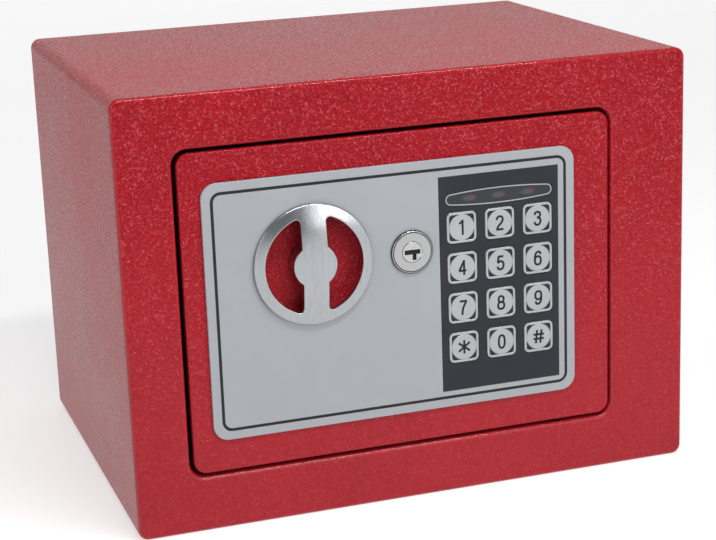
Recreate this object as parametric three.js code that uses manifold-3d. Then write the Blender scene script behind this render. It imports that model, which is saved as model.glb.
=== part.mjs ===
// Small electronic safe with a folded steel body, a hinged door, a recessed knob that throws two bolts,
// a twelve-key keypad and an override key lock. Millimetres, +X right, +Y towards the back, +Z up.
// The origin is the centre of the underside.
import * as THREE from 'three';
import { LoftGeometry } from 'three/addons/geometries/LoftGeometry.js';
import { mergeVertices, toCreasedNormals } from 'three/addons/utils/BufferGeometryUtils.js';
import Module from 'manifold-3d';

// Body
const bodyWidth = 230;
const bodyDepth = 170;
const bodyHeight = 170;
const bodyWall = 1.5;
const bodyCornerRadius = 4;
const frontEdgeRadius = 2.8;
const rearEdgeRadius = 1;
const panelRecess = 0.3;
const anchorHoleRadius = 4.5;
const anchorSpacing = 110;
const matThickness = 2;
const matMargin = 3;

// Doorway in the front of the body, with its edge folded inwards
const doorwayLeftMargin = 21.5;
const doorwayRightMargin = 32.4;
const doorwayTopMargin = 20.8;
const doorwayBottomMargin = 22;
const doorwayCornerRadius = 6;
const doorwayBend = 2;
const flangeDepth = 12;

// Door plate
const doorThickness = 3;
const doorLeftGap = 1.6;
const doorRightGap = 1.1;
const doorTopGap = 1.4;
const doorBottomGap = 1.4;
const doorCornerRadius = 5;
const doorEdgeRadius = 0.9;
const keyWindowRadius = 1;

// Hidden hinge
const hingeInset = 22;
const hingeSetback = 6;
const hingePinRadius = 2.2;
const hingePinLength = 15;
const hingePinReach = 1.4;
const hingePinChamfer = 0.55;
const hingeHoleClearance = 0.4;
const hingeBlockWidth = 15;
const hingeBlockHeight = 11;
const hingeBlockDepth = 6.4;
const washerRadius = 4.6;
const washerThickness = 1.1;

// Clearances
const runningGap = 0.3;
const seatGap = 0.1;
const slotClearance = 0.35;

// How far a cut runs past a face, and how deep a joined piece starts inside its neighbour
const past = 1;
const sink = 0.5;

// Fascia
const fasciaHeight = 100;
const fasciaThickness = 0.9;
const fasciaCornerRadius = 6;
const fasciaLeftMargin = 8.1;
const fasciaRightMargin = 15.3;
const fasciaShiftZ = 0.4;
const borderInset = 4;
const borderLineWidth = 0.9;
const borderLineDepth = 0.25;
const borderLineRadius = 4;

// Knob and the pressed recess behind it
const knobFromLock = 39.6;
const controlsFromTop = 34.9;
const knobRadius = 23.5;
const knobRingInner = 19.3;
const knobBarWidth = 10;
const knobBarDepth = 4.4;
const barEndGap = 1;
const knobHubRadius = 8.55;
const knobProud = 4.1;
const knobDomeRise = 2.6;
const knobEdgeRadius = 0.5;
const knobCornerRadius = 1.6;
const recessMouthRadius = 21.3;
const recessFloorRadius = 20;
const recessDepth = 4;
const recessRound = 2;
const recessLip = 0.7;
const recessSheet = 2.4;
const knobSocketDepth = 5;
const spindleRadius = 4;
const spindleSquare = 5.4;
const clipRadius = 6.5;
const clipThickness = 1;
const clipGrooveDepth = 0.8;
const clipMouth = 4;
const driveCamThickness = 2.4;
const driveCamHubRadius = 7.5;
const crankRadius = 8;
const crankPinRadius = 2.5;
const crankLobeRadius = 4.5;

// Bolts and their carriage
const boltRadius = 7;
const boltLength = 18.6;
const boltFromDoorEnd = 32.2;
const boltTipInset = 4;
const boltTipChamfer = 1.5;
const boltSpigotRadius = 3;
const boltSpigotLength = 3;
const boltBehindFlange = 1;
const boltGuideClearance = 0.5;
const guideInset = 4.9;
const guideSheet = 1.5;
const guideFootWidth = 5.5;
const carriageSheet = 2;
const carriageFromDoorEnd = 22.2;
const carriageFlangeDepth = 15;
const carriageStripWidth = 13;
const carriageTabWidth = 25;
const carriageTabHeight = 16;
const carriageArmHeight = 24;
const carriageArmGap = 1.7;
const carriageFillet = 4;
const guideStudRadius = 2.5;
const guideStudCollar = 4.5;
const guideStudHead = 1;
const guideStudFromFlange = 8;

// Solenoid
const solenoidFromKnob = 11.8;
const plungerRadius = 3;
const plungerStroke = 8;
const plungerEngagement = 1.4;
const plungerPlay = 2.5;
const notchRoom = 2;
const plungerFromFrameBottom = 7.5;
const collarRadius = 5;
const collarThickness = 1.5;
const collarBelowTip = 5.3;
const springTurns = 5;
const springWireRadius = 0.4;
const springHeight = 6;
const springCoreGap = 0.5;
const coilRadius = 8;
const solenoidFromCover = 6.3;
const coilFlange = 1.2;
const windingInset = 0.8;
const solenoidSheet = 1.5;
const solenoidWidth = 18;
const solenoidDepth = 21;

// Override lock
const lockFromKeypad = 11.5;
const lockRimRadius = 8.55;
const lockRimThickness = 0.9;
const lockBarrelRadius = 7.6;
const lockBarrelLength = 22;
const lockPlugRadius = 4;
const lockPlugGap = 0.2;
const lockPlugInset = 0.05;
const lockTailSquare = 4.6;
const lockTailLength = 2.2;
const keywayWidth = 1.8;
const keywayLength = 6.4;
const keywayDepth = 6;
const keywayStepWidth = 1.6;
const keywayStepHeight = 2.3;
const lockNutAcross = 19;
const lockNutThickness = 4.5;
const lockCamLength = 22;
const lockCamWidth = 11;
const lockCamThickness = 1.8;
const camScrewRadius = 4;
const camScrewHead = 2;
const camScrewShank = 1.2;
const camScrewSlotWidth = 1;
const camScrewSlotDepth = 0.8;
const camThreadRadius = 1.5;
const camThreadDepth = 2;

// Keypad
const keypadWidth = 50;
const keypadHeight = 86.4;
const keypadRightInset = 6.9;
const keypadTopInset = 7.1;
const overlayProud = 0.15;
const overlayThickness = 1.1;
const keyPitchX = 15.9;
const keyPitchZ = 16.1;
const keyFirstRow = 20.5;
const keySize = 12.2;
const keyCornerRadius = 2.1;
const keyRimWidth = 0.95;
const keyDiscRadius = 5.2;
const keyPocketDepth = 0.3;
const keyProud = 0.45;
const keyFlangeWidth = 0.7;
const keyFlangeThickness = 0.6;
const keyTravel = 0.4;
const lensWidth = 44.6;
const lensHeight = 6.6;
const lensEndHeight = 4.6;
const lensFromTop = 9.3;
const lensThickness = 0.85;
const ledSpacing = 12.1;
const ledRadius = 1.5;
const ledLength = 2.6;
const circuitThickness = 1.2;
const circuitMargin = 0.3;
const windowLand = 2;
const switchSize = 6;

// Electronics and batteries inside the door
const controlBoardWidth = 55;
const controlBoardHeight = 52;
const controlBoardFromTop = 2.3;
const boardSpacing = 4.5;
const resetSwitchHeight = 3.5;
const chipWidth = 12;
const chipHeight = 8;
const chipThickness = 1.4;
const chipInset = 18;
const connectorWidth = 21;
const connectorHeight = 4;
const connectorFromBottom = 12;
const buzzerRadius = 6;
const buzzerHeight = 7;
const buzzerEdge = 0.6;
const buzzerHoleRadius = 1;
const buzzerHoleDepth = 1.5;
const buzzerInset = 12;
const buzzerFromTop = 8.4;
const batteryRadius = 7.25;
const batteryLength = 49;
const batteryNubRadius = 2.75;
const batteryNubLength = 1.5;
const batteryEdge = 0.5;
const batteryCount = 4;
const batteryPitch = 15.2;
const contactSpace = 4.5;
const holderWall = 1.2;
const holderRib = 0.7;
const holderRibHeight = 5;
const holderRibInset = 8;
const holderFromRight = 10.3;
const holderFromBottom = 4.6;
const pegRadius = 2;
const pegInset = 5;

// Inner cover
const coverSheet = 1.2;
const coverDepth = 31.5;
const coverInsetTop = 12.3;
const coverInsetBottom = 12.6;
const coverInsetRight = 5.5;
const coverCornerRadius = 3;
const coverStudRadius = 3;
const coverStudBore = 1.95;
const coverStudLeft = 15.9;
const screwShankRadius = 1.65;
const screwHeadRadius = 3.4;
const screwHeadHeight = 1.8;
const screwHeadRound = 0.9;
const screwLength = 9;
const screwCrossLength = 4;
const screwCrossWidth = 0.9;
const screwCrossDepth = 0.9;
const lidOverlap = 3;
const lidThickness = 1.6;
const lidCornerRadius = 1;
const ridgeCount = 3;
const ridgeLength = 18;
const ridgeWidth = 1.2;
const ridgePitch = 3;
const ridgeProud = 0.8;
const ridgeFromEnd = 10;
const railWidth = 1.4;
const railLip = 1.6;
const railLipThickness = 1;
const hatchRadius = 2;
const resetFromRight = 16;
const resetFromTop = 13.5;
const resetHeadRadius = 3.4;
const resetStemRadius = 2;
const resetProud = 0.9;
const resetFlange = 1.2;
const resetEdge = 0.5;
const resetTravel = 1;

// Facets round a circle, for large shown rounds, middling ones and small ones
const fineFacets = 36;
const plainFacets = 20;
const smallFacets = 12;
const lockFacets = 24;

// Places worked out from the sizes above
const frontY = -bodyDepth / 2;
const backY = bodyDepth / 2;
const bodyBox = { left: -bodyWidth / 2, right: bodyWidth / 2, bottom: 0, top: bodyHeight };
const doorway = {
  left: bodyBox.left + doorwayLeftMargin,
  right: bodyBox.right - doorwayRightMargin,
  bottom: doorwayBottomMargin,
  top: bodyHeight - doorwayTopMargin,
};
const door = {
  left: doorway.left + doorLeftGap,
  right: doorway.right - doorRightGap,
  bottom: doorway.bottom + doorBottomGap,
  top: doorway.top - doorTopGap,
};
const doorBackY = frontY + doorThickness;
const doorMiddleZ = (door.bottom + door.top) / 2;
const hinge = { x: door.right - hingeInset, y: frontY + hingeSetback };

const fascia = {
  left: door.left + fasciaLeftMargin,
  right: door.right - fasciaRightMargin,
  bottom: doorMiddleZ + fasciaShiftZ - fasciaHeight / 2,
  top: doorMiddleZ + fasciaShiftZ + fasciaHeight / 2,
};
const fasciaBackY = frontY - seatGap;
const fasciaFrontY = fasciaBackY - fasciaThickness;
const keypad = {
  left: fascia.right - keypadRightInset - keypadWidth,
  right: fascia.right - keypadRightInset,
  bottom: fascia.top - keypadTopInset - keypadHeight,
  top: fascia.top - keypadTopInset,
};
const lock = { x: keypad.left - lockFromKeypad, z: fascia.top - controlsFromTop };
const knob = { x: lock.x - knobFromLock, z: lock.z };
const keypadMiddleX = (keypad.left + keypad.right) / 2;
const overlayFrontY = fasciaFrontY - overlayProud;
const lens = { x: keypadMiddleX, z: keypad.top - lensFromTop };
const lowestKeyZ = keypad.top - keyFirstRow - 3 * keyPitchZ;
const keyReach = keySize / 2 + keyFlangeWidth + runningGap;
const keyWindow = {
  left: keypad.left + windowLand,
  right: keypad.right - windowLand,
  bottom: lowestKeyZ - keyReach,
  top: lens.z + lensHeight / 2 + runningGap,
};
const circuitFrontY = doorBackY + seatGap;
const circuitBackY = circuitFrontY + circuitThickness;

const recessFloorY = frontY + recessDepth;
const recessBackY = recessFloorY + recessSheet;
const hubBackY = recessFloorY - runningGap;
const clipFrontY = recessBackY + runningGap;
const clipBackY = clipFrontY + clipThickness;
const driveCamFrontY = clipBackY + 2 * runningGap;
const driveCamBackY = driveCamFrontY + driveCamThickness;
const crankPin = { x: knob.x + crankRadius * Math.SQRT1_2, z: knob.z + crankRadius * Math.SQRT1_2 };
const carriageTravel = 2 * crankRadius * Math.SQRT1_2;

const boltAxisY = frontY + flangeDepth + boltBehindFlange + boltRadius;
const boltTipX = door.left + boltTipInset;
const boltRows = [door.bottom + boltFromDoorEnd, door.top - boltFromDoorEnd];
const carriageLeft = boltTipX + boltLength + runningGap;
const carriageFrontY = boltAxisY - carriageFlangeDepth / 2;
const carriageBackY = carriageFrontY + carriageSheet;
const carriageBottom = door.bottom + carriageFromDoorEnd;
const carriageTop = door.top - carriageFromDoorEnd;
const carriageArmBottom = knob.z - carriageArmHeight / 2;
const carriageArmTop = knob.z + carriageArmHeight / 2;
const carriageArmRight = lock.x - lockBarrelRadius - carriageArmGap;
const guideStudX = carriageLeft + guideStudFromFlange;
const guideStudRows = [carriageBottom + carriageTabHeight / 2, carriageTop - carriageTabHeight / 2];

const cover = {
  left: door.left + guideInset,
  right: door.right - coverInsetRight,
  bottom: door.bottom + coverInsetBottom,
  top: door.top - coverInsetTop,
};
const coverBackY = frontY + coverDepth;
const coverInnerY = coverBackY - coverSheet;
const studInset = coverSheet + runningGap + coverStudRadius;
const coverStuds = [
  [door.left + coverStudLeft, cover.bottom + studInset],
  [door.left + coverStudLeft, cover.top - studInset],
  [cover.right - studInset, cover.bottom + studInset],
  [cover.right - studInset, cover.top - studInset],
];

const solenoidX = knob.x + solenoidFromKnob;
const plungerY = carriageFrontY + plungerRadius;
const plungerTipZ = carriageArmBottom + plungerEngagement - plungerStroke;
const collarTop = plungerTipZ - collarBelowTip;
const collarBottom = collarTop - collarThickness;
const solenoidTop = collarBottom - springHeight - 2 * runningGap;
const coilTop = solenoidTop - solenoidSheet - runningGap;
const solenoidBottom = cover.bottom + coverSheet + solenoidFromCover;
const coilBottom = solenoidBottom + solenoidSheet + runningGap;
const plungerBottom = solenoidBottom + plungerFromFrameBottom;

const lockRimBackY = fasciaFrontY - seatGap;
const lockRimFrontY = lockRimBackY - lockRimThickness;
const lockEndY = lockRimBackY + lockBarrelLength;
const lockCamFrontY = lockEndY + runningGap;

const holderBackY = coverInnerY - runningGap;
const holderFloorY = holderBackY - 2 * batteryRadius - runningGap - holderWall;
const cellSpace = batteryLength + batteryNubLength + contactSpace;
const holder = {
  left: cover.right - holderFromRight - cellSpace - 2 * holderWall,
  right: cover.right - holderFromRight,
  bottom: cover.bottom + holderFromBottom,
  top: cover.bottom + holderFromBottom + batteryCount * batteryPitch + 2 * holderWall,
};
const board = {
  left: keyWindow.left,
  right: keyWindow.left + controlBoardWidth,
  bottom: cover.top - coverSheet - controlBoardFromTop - controlBoardHeight,
  top: cover.top - coverSheet - controlBoardFromTop,
};
const boardFrontY = circuitBackY + boardSpacing;
const boardBackY = boardFrontY + circuitThickness;
const lidBox = {
  left: holder.left,
  right: holder.right,
  bottom: holder.bottom,
  top: holder.top + lidOverlap,
};
const lidFrontY = coverBackY + runningGap;
const lidBackY = lidFrontY + lidThickness;
const reset = { x: cover.right - resetFromRight, z: cover.top - resetFromTop };
const resetSwitchBackY = boardBackY + resetSwitchHeight;

// Solids and their joins and cuts
const wasm = await Module();
wasm.setup();

function signedVolume(points, triangles) {
  const [a, b, c] = [new THREE.Vector3(), new THREE.Vector3(), new THREE.Vector3()];
  let total = 0;
  for (let i = 0; i < triangles.length; i += 3) {
    a.fromArray(points, triangles[i] * 3);
    b.fromArray(points, triangles[i + 1] * 3);
    c.fromArray(points, triangles[i + 2] * 3);
    total += a.dot(b.cross(c));
  }
  return total;
}

// A closed geometry becomes a solid whose faces point out; slivers that a pole folds flat are dropped.
function solid(geometry) {
  const bare = new THREE.BufferGeometry();
  bare.setAttribute('position', geometry.getAttribute('position'));
  bare.setIndex(geometry.getIndex());
  const merged = mergeVertices(bare);
  const vertProperties = new Float32Array(merged.attributes.position.array);
  const triangles = [];
  for (let i = 0; i < merged.index.count; i += 3) {
    const [a, b, c] = merged.index.array.slice(i, i + 3);
    if (a !== b && b !== c && c !== a) triangles.push(a, b, c);
  }
  if (signedVolume(vertProperties, triangles) < 0) triangles.reverse();
  const mesh = new wasm.Mesh({ numProp: 3, vertProperties, triVerts: new Uint32Array(triangles) });
  return new wasm.Manifold(mesh);
}

function join(first, ...others) {
  return others.reduce((whole, other) => whole.add(other), first);
}

function cut(first, ...others) {
  return others.reduce((whole, other) => whole.subtract(other), first);
}

function block(x0, x1, y0, y1, z0, z1) {
  const geometry = new THREE.BoxGeometry(x1 - x0, y1 - y0, z1 - z0);
  return solid(geometry.translate((x0 + x1) / 2, (y0 + y1) / 2, (z0 + z1) / 2));
}

function rod(axis, radius, from, to, u, v, segments = plainFacets) {
  const geometry = new THREE.CylinderGeometry(radius, radius, to - from, segments);
  const middle = (from + to) / 2;
  if (axis === 'x') geometry.rotateZ(Math.PI / 2).translate(middle, u, v);
  if (axis === 'y') geometry.translate(u, middle, v);
  if (axis === 'z') geometry.rotateX(Math.PI / 2).translate(u, v, middle);
  return solid(geometry);
}

// A profile of radius and y turned about a line along Y through x and z.
function turned(profile, x, z, segments = plainFacets) {
  const points = profile.map(([radius, y]) => new THREE.Vector2(radius, y));
  return solid(new THREE.LatheGeometry(points, segments).translate(x, 0, z));
}

function grow(box, amount) {
  return {
    left: box.left - amount,
    right: box.right + amount,
    bottom: box.bottom - amount,
    top: box.top + amount,
  };
}

function boxAround(x, z, width, height) {
  return { left: x - width / 2, right: x + width / 2, bottom: z - height / 2, top: z + height / 2 };
}

function roundedOutline(box, radius, steps = 4) {
  const corners = [
    [box.right - radius, box.bottom + radius, -90],
    [box.right - radius, box.top - radius, 0],
    [box.left + radius, box.top - radius, 90],
    [box.left + radius, box.bottom + radius, 180],
  ];
  const turn = (x, z, start) => Array.from({ length: steps + 1 }, (unused, i) => {
    const angle = THREE.MathUtils.degToRad(start + (90 * i) / steps);
    return new THREE.Vector2(x + radius * Math.cos(angle), z + radius * Math.sin(angle));
  });
  return corners.flatMap(([x, z, start]) => turn(x, z, start));
}

// An outline in x and z between two planes of y.
function slab(outline, y0, y1, curveSegments = 8) {
  const shape = Array.isArray(outline) ? new THREE.Shape(outline) : outline;
  const geometry = new THREE.ExtrudeGeometry(shape, { depth: y1 - y0, bevelEnabled: false, curveSegments });
  return solid(geometry.rotateX(Math.PI / 2).translate(0, y1, 0));
}

// An outline in x and y between two heights.
function floorSlab(outline, z0, z1) {
  const shape = new THREE.Shape(outline);
  const geometry = new THREE.ExtrudeGeometry(shape, { depth: z1 - z0, bevelEnabled: false });
  return solid(geometry.translate(0, 0, z0));
}

// Inset and setback of a rounded edge, from the flat face to the side.
function edgeRound(radius, steps) {
  return Array.from({ length: steps + 1 }, (unused, i) => {
    const angle = (Math.PI / 2) * (i / steps);
    return [radius * (1 - Math.sin(angle)), radius * (1 - Math.cos(angle))];
  });
}

// A rounded box lofted along Y through sections of inset and y.
function loftedBox(box, cornerRadius, sections, steps = 4) {
  const rings = sections.map(([inset, y]) => {
    const outline = roundedOutline(grow(box, -inset), Math.max(cornerRadius - inset, 0.3), steps);
    return outline.map((point) => new THREE.Vector3(point.x, y, point.y)).reverse();
  });
  return solid(new LoftGeometry(rings, { capStart: true, capEnd: true }));
}

// Body
function makeBodyShell() {
  const front = edgeRound(frontEdgeRadius, 3).map(([inset, back]) => [inset, frontY + back]);
  const rear = edgeRound(rearEdgeRadius, 2).map(([inset, back]) => [inset, backY - back]).reverse();
  const outside = loftedBox(bodyBox, bodyCornerRadius, [...front, ...rear], 5);
  const innerRadius = bodyCornerRadius - bodyWall;
  const hollow = [[0, frontY + bodyWall], [0, backY + past]];
  const inside = loftedBox(grow(bodyBox, -bodyWall), innerRadius, hollow, 3);
  const fold = [[0, frontY + bodyWall / 2], [0, frontY + flangeDepth]];
  const flange = loftedBox(grow(doorway, bodyWall), doorwayCornerRadius + bodyWall, fold, 5);
  const bend = edgeRound(doorwayBend, 3).map(([inset, back]) => [-inset, frontY + back]);
  const passage = [[-doorwayBend, frontY - past], ...bend, [0, frontY + flangeDepth + past]];
  const opening = loftedBox(doorway, doorwayCornerRadius, passage, 5);
  const holeRadius = hingePinRadius + hingeHoleClearance;
  const hingeHole = (z0, z1) => rod('z', holeRadius, z0 - past, z1 + past, hinge.x, hinge.y);
  const lowerHole = hingeHole(doorway.bottom - bodyWall, doorway.bottom);
  const upperHole = hingeHole(doorway.top, doorway.top + bodyWall);
  return cut(join(cut(outside, inside), flange), opening, lowerHole, upperHole);
}

function makeBackPanel() {
  const radius = bodyCornerRadius - bodyWall;
  const outline = roundedOutline(grow(bodyBox, -bodyWall - runningGap), radius);
  const y1 = backY - panelRecess;
  const panel = slab(outline, y1 - bodyWall, y1);
  const holes = [-1, 1].map((side) => {
    const x = (side * anchorSpacing) / 2;
    return rod('y', anchorHoleRadius, y1 - bodyWall - past, y1 + past, x, bodyHeight / 2);
  });
  return cut(panel, ...holes);
}

function makeFloorMat() {
  const reach = bodyWidth / 2 - bodyWall - matMargin;
  const ends = {
    left: -reach,
    right: reach,
    bottom: frontY + flangeDepth + matMargin,
    top: backY - panelRecess - bodyWall - matMargin,
  };
  const outline = roundedOutline(ends, matMargin);
  return floorSlab(outline, bodyWall + runningGap, bodyWall + runningGap + matThickness);
}

// Door plate with its pressed recess, welded studs and cut-outs
function recessHollow() {
  const round = edgeRound(recessRound, 2);
  const floor = round.map(([inset, rise]) => [recessFloorRadius - inset, recessFloorY - rise]);
  const edge = edgeRound(recessLip, 1);
  const lip = edge.map(([inset, back]) => [recessMouthRadius + inset, frontY + back]).reverse();
  const mouth = [[recessMouthRadius + recessLip, frontY - past], [0, frontY - past]];
  return turned([[0, recessFloorY], ...floor, ...lip, ...mouth], knob.x, knob.z, fineFacets);
}

function recessShell() {
  const outer = recessMouthRadius + recessSheet;
  const shoulder = recessFloorRadius + recessSheet / 2;
  const insideDoor = doorBackY - doorThickness / 2;
  const profile = [
    [0, insideDoor],
    [outer, insideDoor],
    [outer, doorBackY],
    [shoulder, recessBackY - recessRound / 2],
    [shoulder - recessRound / 2, recessBackY],
    [0, recessBackY],
  ];
  return turned(profile, knob.x, knob.z, plainFacets);
}

function guideStud(z) {
  const stage = (radius, y0, y1) => rod('y', radius, y0, y1, guideStudX, z, smallFacets);
  const headFront = carriageBackY + runningGap;
  const collar = stage(guideStudCollar, doorBackY - sink, carriageFrontY - runningGap);
  const shank = stage(guideStudRadius, carriageFrontY - sink, headFront + sink);
  const head = stage(guideStudCollar, headFront, headFront + guideStudHead);
  return join(collar, shank, head);
}

function coverStud([x, z]) {
  const end = coverInnerY - runningGap;
  const post = rod('y', coverStudRadius, doorBackY - sink, end, x, z, smallFacets);
  const bore = rod('y', coverStudBore, end - screwLength, end + past, x, z, smallFacets);
  return cut(post, bore);
}

function makeDoorPlate() {
  const edge = edgeRound(doorEdgeRadius, 2).map(([inset, back]) => [inset, frontY + back]);
  const plate = loftedBox(door, doorCornerRadius, [...edge, [0, doorBackY]], 5);
  const spindleHole = rod('y', spindleRadius + runningGap, frontY, recessBackY + past, knob.x, knob.z);
  const lockHole = rod('y', lockBarrelRadius + runningGap, frontY - past, doorBackY + past, lock.x, lock.z);
  const window = slab(roundedOutline(keyWindow, keyWindowRadius), frontY - past, doorBackY + past);
  const formed = join(plate, recessShell(), ...guideStudRows.map(guideStud));
  return join(cut(formed, recessHollow(), spindleHole, lockHole, window), ...coverStuds.map(coverStud));
}

// Hinge
function hingeBlock(z0, z1, boreFrom, boreTo) {
  const y0 = doorBackY + seatGap;
  const x0 = hinge.x - hingeBlockWidth / 2;
  const outline = [
    [x0, y0],
    [x0 + hingeBlockWidth, y0],
    [x0 + hingeBlockWidth, y0 + hingeBlockDepth / 2],
    [x0 + hingeBlockWidth - hingeBlockDepth / 2, y0 + hingeBlockDepth],
    [x0 + hingeBlockDepth / 2, y0 + hingeBlockDepth],
    [x0, y0 + hingeBlockDepth / 2],
  ].map(([x, y]) => new THREE.Vector2(x, y));
  const bore = rod('z', hingePinRadius + seatGap, boreFrom, boreTo, hinge.x, hinge.y);
  return cut(floorSlab(outline, z0, z1), bore);
}

const upperPinTop = doorway.top + bodyWall + hingePinReach;
const lowerPinBottom = doorway.bottom - bodyWall - hingePinReach;
const upperBlockTop = door.top - runningGap;
const lowerBlockBottom = doorway.bottom + washerThickness + 2 * seatGap + runningGap;

function makeUpperHingeBlock() {
  const boreFrom = upperPinTop - hingePinLength - seatGap;
  return hingeBlock(upperBlockTop - hingeBlockHeight, upperBlockTop, boreFrom, upperBlockTop + past);
}

function makeLowerHingeBlock() {
  const boreTo = lowerPinBottom + hingePinLength + seatGap;
  return hingeBlock(lowerBlockBottom, lowerBlockBottom + hingeBlockHeight, lowerBlockBottom - past, boreTo);
}

function makeHingePin(bottom) {
  const top = bottom + hingePinLength;
  const profile = [
    [0, bottom],
    [hingePinRadius - hingePinChamfer, bottom],
    [hingePinRadius, bottom + hingePinChamfer],
    [hingePinRadius, top - hingePinChamfer],
    [hingePinRadius - hingePinChamfer, top],
    [0, top],
  ].map(([radius, z]) => new THREE.Vector2(radius, z));
  const geometry = new THREE.LatheGeometry(profile, smallFacets).rotateX(Math.PI / 2);
  return solid(geometry.translate(hinge.x, hinge.y, 0));
}

function makeHingeWasher() {
  const bottom = doorway.bottom + seatGap;
  const top = bottom + washerThickness;
  const disc = rod('z', washerRadius, bottom, top, hinge.x, hinge.y, smallFacets);
  const holeRadius = hingePinRadius + hingeHoleClearance;
  return cut(disc, rod('z', holeRadius, bottom - past, top + past, hinge.x, hinge.y, smallFacets));
}

// Fascia and keypad
function makeFascia() {
  const plate = slab(roundedOutline(fascia, fasciaCornerRadius, 6), fasciaFrontY, fasciaBackY);
  const line = grow(fascia, -borderInset + borderLineWidth / 2);
  const outer = roundedOutline(line, borderLineRadius, 5);
  const inner = roundedOutline(grow(line, -borderLineWidth), borderLineRadius - borderLineWidth, 5);
  const ring = cut(
    slab(outer, fasciaFrontY - past, fasciaFrontY + borderLineDepth),
    slab(inner, fasciaFrontY - 2 * past, fasciaFrontY + past),
  );
  const [y0, y1] = [fasciaFrontY - past, fasciaBackY + past];
  const knobHole = rod('y', recessMouthRadius + recessLip / 2, y0, y1, knob.x, knob.z, fineFacets);
  const lockHole = rod('y', lockBarrelRadius + runningGap, y0, y1, lock.x, lock.z);
  const keypadHole = block(keypad.left, keypad.right, y0, y1, keypad.bottom, keypad.top);
  return cut(plate, ring, knobHole, lockHole, keypadHole);
}

// Lens outline: long sides bulge slightly and the ends are round.
function lensOutline(inset) {
  const end = lensEndHeight / 2 - inset;
  const half = lensWidth / 2 - inset - end;
  const bulge = (lensHeight - lensEndHeight) / 2;
  const shape = new THREE.Shape();
  shape.moveTo(lens.x + half, lens.z - end);
  shape.absarc(lens.x + half, lens.z, end, -Math.PI / 2, Math.PI / 2, false);
  shape.quadraticCurveTo(lens.x, lens.z + end + 2 * bulge, lens.x - half, lens.z + end);
  shape.absarc(lens.x - half, lens.z, end, Math.PI / 2, (3 * Math.PI) / 2, false);
  shape.quadraticCurveTo(lens.x, lens.z - end - 2 * bulge, lens.x + half, lens.z - end);
  return shape;
}

function keyPlaces() {
  const names = ['1', '2', '3', '4', '5', '6', '7', '8', '9', 'star', '0', 'hash'];
  return names.map((name, i) => ({
    name: `key_${name}`,
    x: keypadMiddleX + ((i % 3) - 1) * keyPitchX,
    z: keypad.top - keyFirstRow - Math.floor(i / 3) * keyPitchZ,
  }));
}

function makeOverlay() {
  const back = overlayFrontY + overlayThickness;
  const area = grow(keypad, -runningGap / 2);
  const sheet = block(area.left, area.right, overlayFrontY, back, area.bottom, area.top);
  const size = keySize + 2 * runningGap;
  const holes = keyPlaces().map(({ x, z }) => {
    const outline = roundedOutline(boxAround(x, z, size, size), keyCornerRadius + runningGap, 2);
    return slab(outline, overlayFrontY - past, back + past);
  });
  return cut(sheet, ...holes, slab(lensOutline(0), overlayFrontY - past, back + past, 6));
}

function makeLens() {
  return slab(lensOutline(runningGap / 2), overlayFrontY, overlayFrontY + lensThickness, 6);
}

function makeLed(index) {
  const x = lens.x + (index - 1) * ledSpacing;
  const y1 = circuitFrontY - runningGap;
  const y0 = y1 - ledLength;
  const dome = edgeRound(ledRadius, 2).map(([inset, back]) => [ledRadius - inset, y0 + back]);
  return turned([...dome, [ledRadius, y1], [0, y1]], x, lens.z, smallFacets);
}

// One key about its own centre: a rounded square with a raised rim, a raised disc and four corner pockets,
// and a flange behind the overlay that keeps it in.
function makeKey() {
  const front = -keyProud;
  const floor = front + keyPocketDepth;
  const flangeFront = overlayThickness + runningGap;
  const square = (size, radius, steps) => roundedOutline(boxAround(0, 0, size, size), radius, steps);
  const cap = slab(square(keySize, keyCornerRadius, 2), front, flangeFront + keyFlangeThickness / 2);
  const inside = square(keySize - 2 * keyRimWidth, keyCornerRadius - keyRimWidth, 1);
  const disc = rod('y', keyDiscRadius, front - 2 * past, floor + past, 0, 0, plainFacets);
  const pockets = cut(slab(inside, front - past, floor), disc);
  const flangeOutline = square(keySize + 2 * keyFlangeWidth, keyCornerRadius, 1);
  const flange = slab(flangeOutline, flangeFront, flangeFront + keyFlangeThickness);
  return join(cut(cap, pockets), flange);
}

function makeKeypadCircuit() {
  const area = grow(keyWindow, circuitMargin);
  const sheet = block(area.left, area.right, circuitFrontY, circuitBackY, area.bottom, area.top);
  const keyBackY = overlayFrontY + overlayThickness + runningGap + keyFlangeThickness;
  const switchFrontY = keyBackY + keyTravel + runningGap / 2;
  const switchBackY = circuitFrontY + circuitThickness / 2;
  const half = switchSize / 2;
  const switches = keyPlaces().map(({ x, z }) => (
    block(x - half, x + half, switchFrontY, switchBackY, z - half, z + half)
  ));
  return join(sheet, ...switches);
}

// Knob: a shallow dome with two finger openings, a bar and a hub that reaches into the recess
function fingerOpening(side) {
  const bar = knobBarWidth / 2;
  const corner = knobCornerRadius;
  const cornerX = bar + corner;
  const cornerZ = Math.sqrt((knobRingInner - corner) ** 2 - cornerX ** 2);
  const rim = Math.atan2(cornerZ, cornerX);
  const waist = Math.acos(bar / knobHubRadius);
  const shape = new THREE.Shape();
  shape.moveTo(bar, knobHubRadius * Math.sin(waist));
  shape.lineTo(bar, cornerZ);
  shape.absarc(cornerX, cornerZ, corner, Math.PI, rim, true);
  shape.absarc(0, 0, knobRingInner, rim, -rim, true);
  shape.absarc(cornerX, -cornerZ, corner, -rim, -Math.PI, true);
  shape.lineTo(bar, -knobHubRadius * Math.sin(waist));
  shape.absarc(0, 0, knobHubRadius, -waist, waist, false);
  const depth = recessFloorY - fasciaFrontY + knobProud + past;
  const cutter = new THREE.ExtrudeGeometry(shape, { depth, bevelEnabled: false, curveSegments: 6 });
  if (side < 0) cutter.rotateZ(Math.PI);
  return solid(cutter.rotateX(Math.PI / 2).translate(knob.x, recessFloorY, knob.z));
}

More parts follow.
